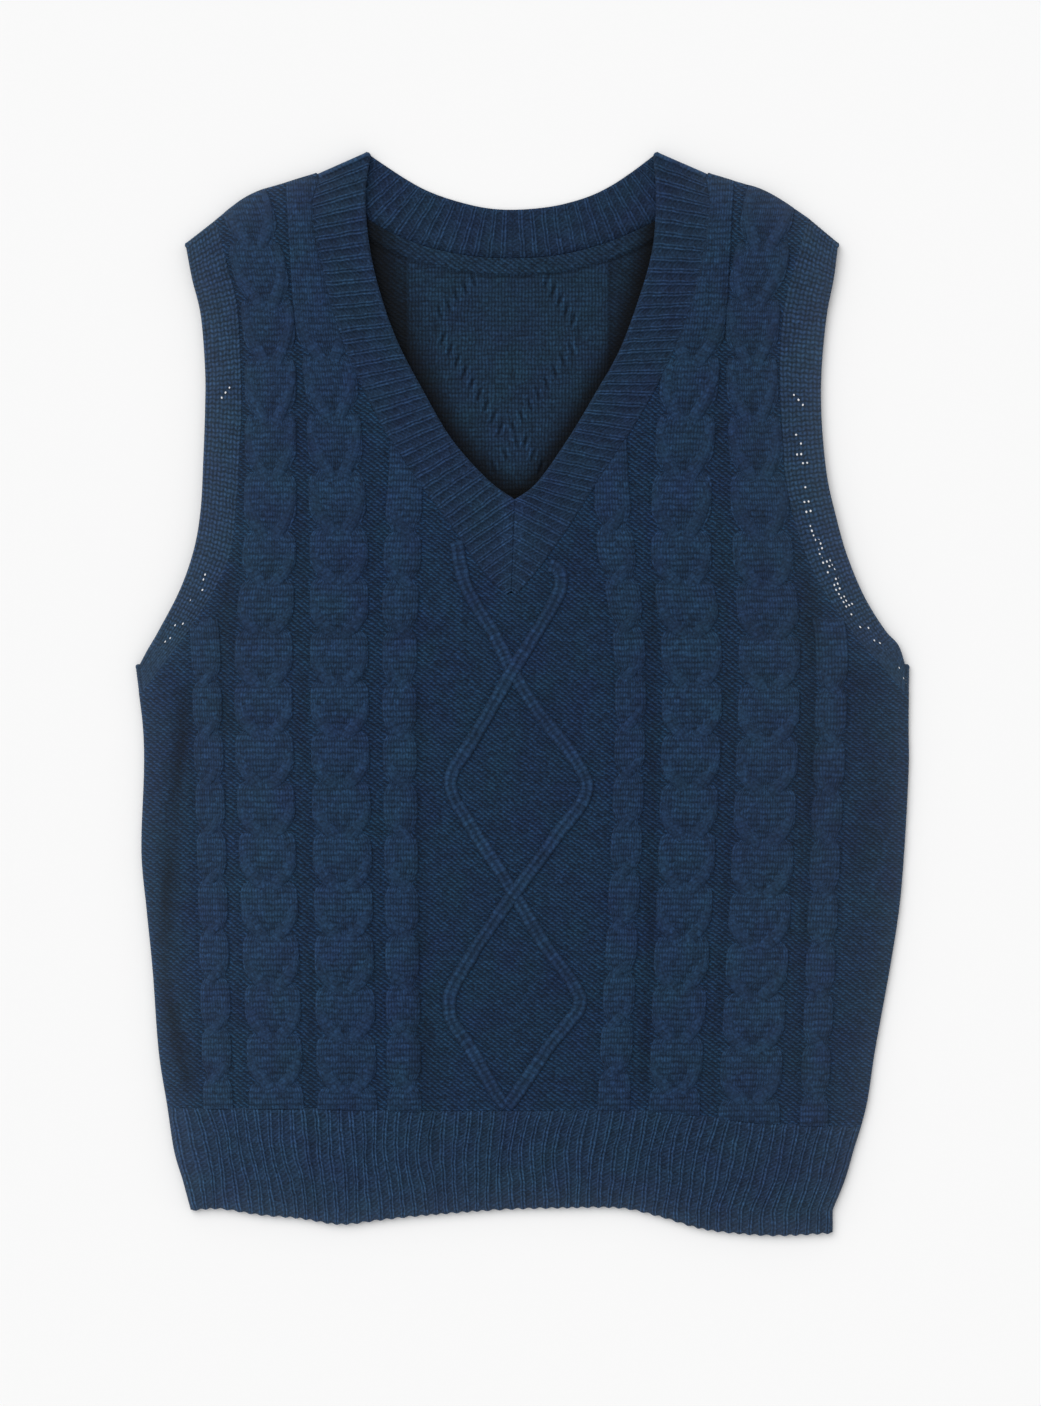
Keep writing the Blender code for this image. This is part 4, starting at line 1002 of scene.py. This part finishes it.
def hem_rib(name, upper):
    """Hem rib of one layer. The front's ribs stand up, and the back's lie flat underneath."""
    columns = HEM_RIBS * (COLUMNS_PER_RIB if upper else COLUMNS_PER_FLAT_RIB)
    across = np.linspace(0.0, 1.0, columns + 1)
    down = np.concatenate((np.linspace(0.0, 0.965, 34), (0.975, 0.985, 0.993, 1.0)))
    across, down = np.meshgrid(across, down)
    wale = across * HEM_RIBS * WALES_PER_RIB
    ends = np.minimum(across, 1.0 - across)
    # the ribs lean to the right on their way down, and wander as they do
    sway = 2.6 * np.sin(np.pi * down) * np.cos(across * 5 + 0.4)
    sway += 1.0 * np.sin(across * 31) * np.sin(down * 5.0)
    sway += 0.35 * np.sin(across * 90 + down * 7)
    sway = sway / HEM_WIDTH * soft_step(ends, 0.0, 0.04)
    # each rib ends a little lower than the hollows beside it
    scallop = 0.45 * np.cos(2 * np.pi * (wale - 2.0) / WALES_PER_RIB) * soft_step(down, 0.8, 1.0)
    x, y = hem_grid(np.clip(across + sway, 0.0, 1.0), down)
    y = y - scallop
    plain = WALL * np.minimum(edge_round(ends * HEM_WIDTH, WALL),
                              edge_round((1.0 - down) * HEM_DEPTH, EDGE_ROUND))
    counted = stitch_count((wale + 1.0) / 2, down * HEM_DEPTH / RIB_COURSE, rib_knit(wale),
                           wale.shape)
    places = np.stack((x.ravel(), y.ravel()), 1)
    if upper:
        # the ribs are low at the seam, and fade out at the lower edge and the side folds
        rise = rib_rise(wale, HEM_RIB, HEM_APART) * soft_step(1.0 - down, 0.0, 0.04)
        rise *= soft_step(ends * HEM_WIDTH, 0.5, 3.0) * (0.35 + 0.65 * soft_step(down, 0.0, 0.06))
        z = FRONT_INSIDE + plain.ravel() + rise.ravel() + lift(places)
        level = FRONT_INSIDE
    else:
        z = BACK_INSIDE - plain.ravel()
        level = BACK_INSIDE
    # painted light and shade: the creases' painted shade, and the hem painted a little lighter at
    # its left end, as if turned up towards the window
    light = crease_light(places) * (1.0 - 0.07 * soft_step(places[:, 0], -110.0, -30.0))
    return knit_mesh(name, np.column_stack((places, z)), grid_faces(*across.shape), counted,
                     level, light, rib_crisp(counted[:, 2]))


# ---------------------------------------------------------------- panels
def garment_outline(neck):
    """Outline of the front or back above the hem rib, from its lower left corner round.

    A panel's edge is tucked a little way under the bands, as it is where they are linked on.
    """
    hem = hem_seam(-TUCK)
    arms = []
    for table, side_out in ((LEFT_ARMHOLE, TO_LEFT), (RIGHT_ARMHOLE, TO_RIGHT)):
        rows = seam_first(table)
        inner = rows.copy()
        inner[0] = fold_axis(rows[0], side_out, MIDDLE)
        inner[-1] = fold_axis(rows[-1], out_of(rows[-1]), MIDDLE)
        arms.append(np.vstack((tucked(rows[:1]), tucked(smooth(inner)), tucked(rows[-1:]))))
    left, right = arms
    sides = [line[(line[:, 1] > low + 1.0) & (line[:, 1] < high - 1.0)] for line, low, high in (
        (SIDE_LEFT, hem[0, 1], left[0, 1]), (SIDE_RIGHT, hem[-1, 1], right[0, 1]))]
    left_shoulder, right_shoulder = (line[1:-1] for line in FOLDS[2:])
    return np.vstack((hem, sides[1], right, right_shoulder[::-1], neck, left_shoulder,
                      left[::-1], sides[0][::-1]))


def neck_edge(rows):
    """Neck edge of a panel from the right shoulder to the left."""
    ends = np.array((RIGHT_NECK[0], LEFT_NECK[0]), float)
    return np.vstack((tucked(ends[:1]), rows, tucked(ends[1:])))


FRONT_OUTLINE = garment_outline(neck_edge(
    np.vstack((tucked(DOWN_RIGHT), [BELOW_MITRE], tucked(UP_LEFT)))))
BACK_OUTLINE = garment_outline(neck_edge(tucked(BACK_BAND[::-1])))


def cable_line(rows, y):
    """Middle and half width of a cable at heights y."""
    line = smooth(rows)[::-1]
    return np.interp(y, line[:, 0], line[:, 1]), np.interp(y, line[:, 0], line[:, 2])


def under_cables(points):
    """1 well under a cable and 0 in the open, and the distance to the nearest cable's side."""
    x, y = points.T
    cover = np.zeros(len(points))
    beside = np.full(len(points), 99.0)
    for rows, *_ in CABLES.values():
        middle, half = cable_line(rows, y)
        out = np.abs(x - middle) - half
        there = y < rows[0][0]
        cover = np.maximum(cover, np.where(there, soft_step(-out, 0.5, 3.0), 0.0))
        beside = np.minimum(beside, np.where(there, np.abs(out), 99.0))
    return cover, beside


front_edge_gap = distance_to([np.vstack((FRONT_OUTLINE, FRONT_OUTLINE[:1]))])
LATTICE_LINES = [smooth(line) for line in LATTICE]


def front_panel():
    """The purl ground, bedded up under the cables and drawn down beside them and the lattice."""
    across = np.arange(-226.0, 227.0, 1.5)
    up = np.arange(-252.0, 304.0, MESH_STEP)
    places, faces = laid_grid(FRONT_OUTLINE, across, up)
    shown = np.unique(faces)
    spots = places[shown]
    level = front_level(spots)
    cover, beside = under_cables(spots)
    level += 0.5 * cover - 0.5 * soft_hump(beside, 2.0)
    strands = np.min([nearest(spots, line)[0] for line in LATTICE_LINES], 0)
    level -= 0.45 * soft_hump(strands - LATTICE_HALF, 1.2)
    # the groove beside the bands stops short of the folds and of the hem's seam
    drawn_down = SEAM_GROOVE * soft_hump(front_edge_gap(spots) - TUCK, 1.1)
    drawn_down *= soft_step(fold_gap(spots), 2.0, 5.0)
    level -= drawn_down * soft_step(hem_gap(spots), 66.0, 74.0)
    z = np.zeros(len(places))
    z[shown] = level
    counted = np.column_stack((places[:, 0] / WALE, places[:, 1] / COURSE, np.zeros(len(places))))
    # beside the bands the stitches are drawn up and catch more light
    light = 1.0 + 0.22 * soft_hump(front_edge_gap(places) - TUCK, 1.6)
    return knit_mesh("front_knit", np.column_stack((places, z)), faces, counted, FRONT_INSIDE,
                     crease_light(places) * light)


# ---------------------------------------------------------------- raised work of the front
def repeat_at(height):
    """Distance from one crossing to the next at a height."""
    return np.where(height < UPPER_FROM, LOWER_REPEAT, UPPER_REPEAT)


def beside_line(line, width):
    """Points at distances square to a line, a row of them for each of its own."""
    ahead = np.gradient(line, axis=0)
    ahead /= np.linalg.norm(ahead, axis=1, keepdims=True)
    return line[:, None] + np.stack((-ahead[:, 1:] * width, ahead[:, :1] * width), -1)


def blocks(rows, kind, heights, plump):
    """A cable's plump blocks: places, rises, stitch counts, light and crispness, row by row."""
    y = np.arange(rows[-1][0] - 12.0, rows[0][0], 1.2)[::-1]
    middle, half = cable_line(rows, y)
    block = np.clip(np.searchsorted(heights, y) - 1, 0, len(heights) - 2)
    repeat = repeat_at(y)
    # a block that shows no crossing above or below stays as it is at its middle
    down = (heights[block + 1] - y) / repeat
    down = np.where(down < 0.5, down, np.maximum(0.5, 1.0 - (y - heights[block]) / repeat))
    slim = soft_step(y, BROAD_BELOW, SLIM_ABOVE)
    drawn_in = np.maximum(soft_hump(down, 0.11, 1.5), soft_step(down, 0.62, 1.0) ** 1.3)
    waist = (WAIST[0] + (WAIST[1] - WAIST[0]) * slim) * (1.0 if kind == "wide" else ROPE_WAIST)
    half = half * (1.0 - waist * drawn_in)

    even = np.linspace(-1.0, 1.0, 33 if kind == "wide" else 21)
    t = 0.6 * even + 0.4 * np.sin(even * np.pi / 2)
    in_middle = soft_hump(t, 0.5, 4)
    if kind != "wide":
        turn = 1.0 if kind == "to the right" else -1.0
        in_middle = soft_step(t * turn, -0.35, 0.35)
    middle_rise, side_rise = (np.interp(down, *smooth(table).T)
                              for table in (MIDDLE_RISE, SIDE_RISE))
    raised = middle_rise[:, None] * in_middle + side_rise[:, None] * (1.0 - in_middle)
    raised *= plump[block][:, None]
    if kind == "wide":
        # the crease runs down and in, from near the side to the middle of the foot
        start = 0.45 * (1.0 - slim)
        run = np.clip((down - start) / (1.0 - start), 0.0, 1.0)
        crease = 0.66 * (1.0 - run) ** 0.8
        deep = CREASE * soft_step(run, 0.0, 0.3)
        raised -= deep[:, None] * soft_hump(np.abs(t) - crease[:, None], 0.13)
    raised *= np.sqrt(1.0 - np.abs(t) ** 4)
    # two more columns close it underneath, sunk into the panel
    raised = np.hstack((raised, np.full((len(y), 2), -SUNK_RIM)))
    t = np.concatenate((t, (0.98, -0.98)))
    x = middle[:, None] + half[:, None] * t
    places = np.stack((x, np.broadcast_to(y[:, None], x.shape)), -1)
    wales = round(2 * rows[-1][2] / CABLE_WALE)
    counted = stitch_count((t + 1.0) / 2 * wales, y[:, None] / CABLE_COURSE, 1.0, x.shape)
    # the foot of a block lies in the shade of the strands in front of it
    light = 1.0 + RIM_LIGHT * soft_step(np.abs(np.broadcast_to(t, x.shape)), 0.84, 0.97)
    light[:, :-2] -= FOOT_SHADE * in_middle * soft_step(down, 0.5, 0.95)[:, None]
    return places, raised, counted, light, np.ones(x.shape)


def arm(rows, table, side, foot, size, number):
    """One strand that crosses in front at the foot of a block, given as a block is."""
    run = smooth(table, 3)
    y = foot + repeat_at(foot) * (1.0 - run[:, 1])
    middle, half = cable_line(rows, y)
    line = np.stack((middle + side * half * run[:, 0], y), 1)
    along = along_line(line)
    even = np.linspace(-1.0, 1.0, 11)
    t = 0.7 * even + 0.3 * np.sin(even * np.pi / 2)
    dome = np.concatenate((np.sqrt(1.0 - np.abs(t) ** 2.8), (0.0, 0.0)))
    t = np.concatenate((t, (0.97, -0.97)))
    raised = (run[:, 3] * size)[:, None] * dome - 0.05
    raised[:, -2:] -= SUNK_RIM
    places = beside_line(line, (half * run[:, 2])[:, None] * t)
    # each strand has stitch numbers of its own, so no two have the same uneven stitches
    counted = stitch_count((t + 1.0) / 2 * ARM_WALES + 5 * number, along[:, None] / CABLE_COURSE,
                           1.0, raised.shape)
    tight = soft_step(along, 0.0, 9.0) * soft_step(along[-1] - along, 0.0, 9.0)
    tight = np.broadcast_to(tight[:, None], raised.shape)
    return places, raised, counted, np.ones(raised.shape), 1.0 - (1.0 - ARM_CRISP) * tight


def cable(name, seed):
    """One cable: its blocks and the strands that cross in front of them, as a single mesh."""
    rows, kind, lowest, highest, repeat = CABLES[name]
    draw = np.random.default_rng(seed)
    heights = crossings(lowest, highest, repeat)
    heights[1:-1] += draw.uniform(-0.7, 0.7, len(heights) - 2)
    plump = draw.uniform(0.92, 1.08, len(heights))
    sweeps = [blocks(rows, kind, heights, plump)]
    for number, foot in enumerate(heights[1:-1]):
        slim = soft_step(foot + LOWER_REPEAT_HALF, BROAD_BELOW, SLIM_ABOVE)
        if kind == "wide":
            table = np.array(BROAD_ARM) * (1.0 - slim) + np.array(SLIM_ARM) * slim
            sides = (-1.0, 1.0)
        else:
            table = np.array(ROPE_ARM)
            sides = (1.0,) if kind == "to the right" else (-1.0,)
        for side in sides:
            size = draw.uniform(0.92, 1.06) * (BROAD_SIZE + (1.0 - BROAD_SIZE) * slim)
            sweeps.append(arm(rows, table, side, foot, size, number))
    faces, start = [], 0
    for raised in (sweep[1] for sweep in sweeps):
        faces.append(grid_faces(*raised.shape, around=True) + start)
        start += raised.size
    raised, light, crisp = (np.concatenate([sweep[part].ravel() for sweep in sweeps])
                            for part in (1, 3, 4))
    counted = np.vstack([sweep[2] for sweep in sweeps])
    places = np.vstack([sweep[0].reshape(-1, 2) for sweep in sweeps])
    places, faces = trimmed(places, np.vstack(faces), FRONT_OUTLINE)
    # cables sink to the level of what they are linked to, and the side ropes begin flat
    keep = 0.3 + 0.7 * soft_step(front_edge_gap(places), 0.0, 4.0)
    if highest < SIDE_ROPES_TOP:
        keep = keep * (0.3 + 0.7 * soft_step(highest + 22.0 - places[:, 1], 0.0, 18.0))
    z = front_level(places) + raised * np.where(raised > 0, keep, 1.0)
    return knit_mesh(name, np.column_stack((places, z)), faces, counted,
                     light=light * crease_light(places), crisp=crisp)


def lattice():
    """The two travelling strands of the centre, one passing over the other where they cross."""
    points, counted, faces, light = [], [], [], []
    start = 0
    even = np.linspace(-1.0, 1.0, 13)
    t = np.concatenate((even, (0.97, -0.97)))
    dome = np.concatenate((np.sqrt(1.0 - np.abs(even) ** 2.6), (0.0, 0.0)))
    # a groove between the two stitches of a strand, and two sunk columns to close it below
    valley = np.concatenate((0.7 * soft_hump(even, 0.2), (SUNK_RIM, SUNK_RIM)))
    # painted light on the crests of a strand's two stitches, and painted shade in the groove
    # between them and at its sides
    legs = 0.88 + 0.28 * soft_hump(np.abs(t) - 0.55, 0.26)
    for line in LATTICE_LINES:
        run = spaced(line, round(along_line(line)[-1] / 1.1))
        along = along_line(run)
        # at both crossings the strand that leans to the right lies on top
        away = np.min([np.linalg.norm(run - spot, axis=1) for spot in LATTICE_CROSSINGS], 0)
        to_left = np.gradient(run[:, 0]) < 0
        over = np.where(to_left, LATTICE_OVER, -LATTICE_OVER) * soft_hump(away, 5.0)
        ends = soft_step(np.minimum(along, along[-1] - along), 0.0, 6.0)
        height = (LATTICE_RISE + over) * (0.3 + 0.7 * ends)
        raised = height[:, None] * dome - valley
        width = LATTICE_HALF * (1.0 + 0.05 * np.sin(along / 9))[:, None] * t
        flat = beside_line(run, width).reshape(-1, 2)
        points.append(np.column_stack((flat, front_level(flat) + raised.ravel())))
        counted.append(stitch_count((t + 1.0) / 2, along[:, None] / COURSE, 1.0, raised.shape))
        light.append(np.broadcast_to(legs, raised.shape).ravel())
        faces.append(grid_faces(*raised.shape, around=True) + start)
        start += raised.size
    return knit_mesh("centre_lattice", np.vstack(points), np.vstack(faces), np.vstack(counted),
                     light=np.concatenate(light), crisp=0.7)


# ---------------------------------------------------------------- back
def back_inside(points):
    """The back's inside: how far it lies below BACK_INSIDE, 1 for knit or 0 for purl, and its
    painted light and shade.
    """
    x, y = points.T
    neck_gap = nearest(points, smooth(BACK_NECK)[:, :2])[0]
    strip = soft_step(neck_gap, LINKED_STRIP - 1.0, LINKED_STRIP + 1.0)
    middle = np.minimum(x - MIDDLE_EDGES[0], MIDDLE_EDGES[1] - x)
    # its smooth middle ends in a small ridge, and the knit outside it lies deeper, with painted
    # shade outside it and along its edge
    outside = soft_step(-middle, -0.6, 0.8)
    sunk = 0.2 + strip * (0.7 + 0.6 * outside - 0.35 * soft_hump(middle, 1.0))
    light = 1.0 - strip * (0.28 * outside + 0.25 * soft_hump(middle + 0.4, 0.9))
    # a groove along the linked strip, then its two ridges
    beside_strip = neck_gap - LINKED_STRIP
    sunk += 0.6 * soft_hump(beside_strip - 0.8, 1.0)
    sunk -= 0.35 * soft_hump(beside_strip + 1.2, 1.2) + 0.4 * soft_hump(neck_gap - 1.0, 1.0)
    sunk += 0.12 * np.sin(x / 19 + y / 33) + 0.1 * np.sin(y / 11 - x / 40)
    # the linked strip is bumpy with the ends of loops, painted lighter where they stand up and
    # darker between
    loops = np.sin(x * 1.62 + 2.0 * np.sin(y * 0.8)) * np.sin(y * 2.2 + 1.7 * np.sin(x * 0.9))
    loops *= 1.0 - strip
    sunk -= 0.4 * loops
    light += 0.26 * loops
    # painted shade in the groove along the linked strip, and painted light on its two ridges
    light -= 0.30 * soft_hump(beside_strip - 0.9, 0.8)
    light += 0.12 * soft_hump(beside_strip + 1.4, 1.2)
    light += 0.16 * soft_hump(neck_gap - 1.2, 1.0)
    for first, last, count, lean in CHAINS:
        along = np.array((HOLLOW_ALONG[0] * lean, HOLLOW_ALONG[1]))
        square = np.array((along[1], -along[0]))
        for place in np.linspace(first, last, count):
            gap = points - place
            long, wide = gap @ along, gap @ square
            ends = soft_hump(long, HOLLOW_LONG, 4)
            hollow = ends * soft_hump(wide, HOLLOW_WIDE)
            # the hollow sinks, with painted shade in it; the loops beside it stand up, with painted
            # light on them, and painted shade lies past them
            sunk += HOLLOW_DEEP * hollow
            light -= HOLLOW_SHADE * hollow
            for way in (-1.0, 1.0):
                loop = ends * soft_hump(wide - way * LOOP_BESIDE, 1.05)
                sunk -= 0.5 * loop
                light += 0.6 * loop
            for way in (-1.0, 1.0):
                light -= 0.22 * ends * soft_hump(wide - way * LOOP_SHADE_BESIDE, 0.7)
    for spot in CHAIN_TURNS:
        dent = np.exp(-(((points - spot) / (1.7, 4.2)) ** 2).sum(1))
        # a dent, with painted shade in it
        sunk += 0.9 * dent
        light -= 0.3 * dent
    knit = np.where((middle > 0) & (neck_gap > LINKED_STRIP), 1.0, 0.0)
    return np.clip(sunk, 0.0, 2.2), knit, light


def steps(rows):
    """Even steps over one stretch after another. Columns: from, to less than, step."""
    return np.concatenate([np.arange(*row) for row in rows])


def back_panel():
    """The back: flat underneath, and inside with what shows in the neck, in its shade."""
    # fine where the chains show in the neck, and coarse where it lies under the front
    across = steps(((-226.0, -92.5, 3.8), (-92.0, -54.5, 1.9), (-54.0, 37.0, 0.9),
                    (37.5, 78.0, 1.9), (79.0, 227.0, 3.8)))
    up = steps(((-252.0, 122.0, 5.0), (124.0, 246.0, 0.95), (247.0, 286.0, 1.6),
                (287.0, 304.0, 3.0)))
    places, faces = laid_grid(BACK_OUTLINE, across, up)
    # only round the neck, where it may be seen, is it worked and shaded
    seen = (np.abs(places[:, 0] + 7) < 115) & (places[:, 1] > 90)
    gap = np.zeros(len(places))
    shown = np.unique(faces)
    gap[shown] = fold_gap(places[shown])
    kept = np.ones(len(places))
    spots = places[seen]
    for rows, reach, wider in zip((UP_LEFT, DOWN_RIGHT), NECK_SHADE_REACH, NECK_SHADE_WIDER):
        gap_beside = nearest(spots, rows[:, 2:])[0]
        reach = reach + wider * soft_step(spots[:, 1], 150.0, 250.0)
        kept[seen] *= 1.0 - NECK_SHADE * soft_hump(gap_beside, reach, 2.5)
    sunk, knit = np.full(len(places), 0.3), np.ones(len(places))
    sunk[seen], knit[seen], lit = back_inside(spots)
    kept[seen] *= lit
    top = BACK_INSIDE - sunk * soft_step(gap, 0.5, 8.0)
    bottom = BACK_INSIDE - rounded(gap)
    counted = np.column_stack((places[:, 0] / WALE, places[:, 1] / COURSE, knit))
    # the rim, whose sides belong to one face alone, is closed with a wall
    count = len(places)
    sides = np.stack((faces, np.roll(faces, -1, 1)), -1).reshape(-1, 2)
    keys = np.sort(sides, 1) @ (count, 1)
    first, times = np.unique(keys, return_index=True, return_counts=True)[1:]
    rim = sides[first[times == 1]]
    wall = np.stack((rim[:, 1], rim[:, 0], rim[:, 0] + count, rim[:, 1] + count), 1)
    points = np.vstack((np.column_stack((places, top)), np.column_stack((places, bottom))))
    faces = np.vstack((faces, faces[:, ::-1] + count, wall))
    return knit_mesh("back_knit", points, faces, np.vstack((counted, counted)),
                     light=np.concatenate((kept, kept)))


# ---------------------------------------------------------------- the vest
def dress(piece, finish):
    """A piece in its finish, riding on the vest's one body."""
    piece.data.materials.append(finish)
    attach(piece, "root")
    return piece


front = dress(front_panel(), PANEL_WOOL)
raised_work = [dress(cable(name, seed), CABLE_WOOL)
               for seed, name in enumerate(CABLES)]
raised_work.append(dress(lattice(), CABLE_WOOL))
back = dress(back_panel(), BACK_WOOL)
neck = dress(neckband(), BAND_WOOL)
left_arm = dress(armhole_band("left_armhole_knit", LEFT_ARMHOLE, TO_LEFT, LEFT_OPENED),
                 ARMHOLE_WOOL)
right_arm = dress(armhole_band("right_armhole_knit", RIGHT_ARMHOLE, TO_RIGHT, RIGHT_OPENED),
                  ARMHOLE_WOOL)
front_hem = dress(hem_rib("front_hem_knit", True), HEM_WOOL)
back_hem = dress(hem_rib("back_hem_knit", False), HEM_WOOL)

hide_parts("front_panel")
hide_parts("back_panel")
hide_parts("neckband")
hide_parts("left_armhole_band")
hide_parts("right_armhole_band")
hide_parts("front_hem_rib")
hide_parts("back_hem_rib")


# ---------------------------------------------------------------- floor, light and camera
TABLE_REACH = 3.0       # in metres, from its middle
WINDOW_WIDE = 50.0      # degrees of the sky that the window-like light takes up
WINDOW_LIGHT = 1.55
ROOM_LIGHT = 0.66       # from all round, in all a little more than the window gives
VIEW_HEIGHT = 815.5     # what the picture shows from top to bottom, in mm
VIEW_MIDDLE = (-1.2, -5.6)
CAMERA_HEIGHT = 2600.0
SENSOR = 36.0


def table_top():
    """A plain pale sheet of board under the vest."""
    mesh = bpy.data.meshes.new("floor")
    r = TABLE_REACH
    corners = [(-r, -r, 0.0), (r, -r, 0.0), (r, r, 0.0), (-r, r, 0.0)]
    mesh.from_pydata(corners, [], [(0, 1, 2, 3)])
    floor = bpy.data.objects.new("floor", mesh)
    bpy.context.scene.collection.objects.link(floor)
    # matt white paint: even and bright, with soft shadows and hardly any reflection
    paint = bpy.data.materials.new("matt_white_paint")
    paint.use_nodes = True
    shader = paint.node_tree.nodes["Principled BSDF"]
    shader.inputs["Base Color"].default_value = linear(TABLE_WHITE)
    shader.inputs["Roughness"].default_value = 0.9
    shader.inputs["Specular IOR Level"].default_value = 0.1
    mesh.materials.append(paint)


def light_the_vest():
    """A wide window-like light from the upper left, and a soft even light from all round."""
    sun = bpy.data.lights.new("key_light", "SUN")
    sun.angle = math.radians(WINDOW_WIDE)
    sun.energy = WINDOW_LIGHT
    key = bpy.data.objects.new("key_light", sun)
    key.rotation_euler = Vector((-0.7, 0.9, 1.5)).to_track_quat("Z", "Y").to_euler()
    bpy.context.scene.collection.objects.link(key)
    world = bpy.data.worlds.new("studio")
    world.use_nodes = True
    sky = world.node_tree.nodes["Background"]
    sky.inputs["Color"].default_value = (1.0, 1.0, 1.0, 1.0)
    sky.inputs["Strength"].default_value = ROOM_LIGHT
    bpy.context.scene.world = world


def look_straight_down():
    """The camera, high over the vest, with the photograph's margins round it."""
    lens = bpy.data.cameras.new("camera")
    lens.sensor_fit = "VERTICAL"
    lens.sensor_height = SENSOR
    lens.lens = SENSOR * CAMERA_HEIGHT / VIEW_HEIGHT
    camera = bpy.data.objects.new("camera", lens)
    camera.location = (VIEW_MIDDLE[0] * MM, VIEW_MIDDLE[1] * MM, CAMERA_HEIGHT * MM)
    bpy.context.scene.collection.objects.link(camera)
    bpy.context.scene.camera = camera


table_top()
light_the_vest()
look_straight_down()
bpy.context.scene.view_settings.view_transform = "Standard"
bpy.context.scene.view_settings.look = "None"
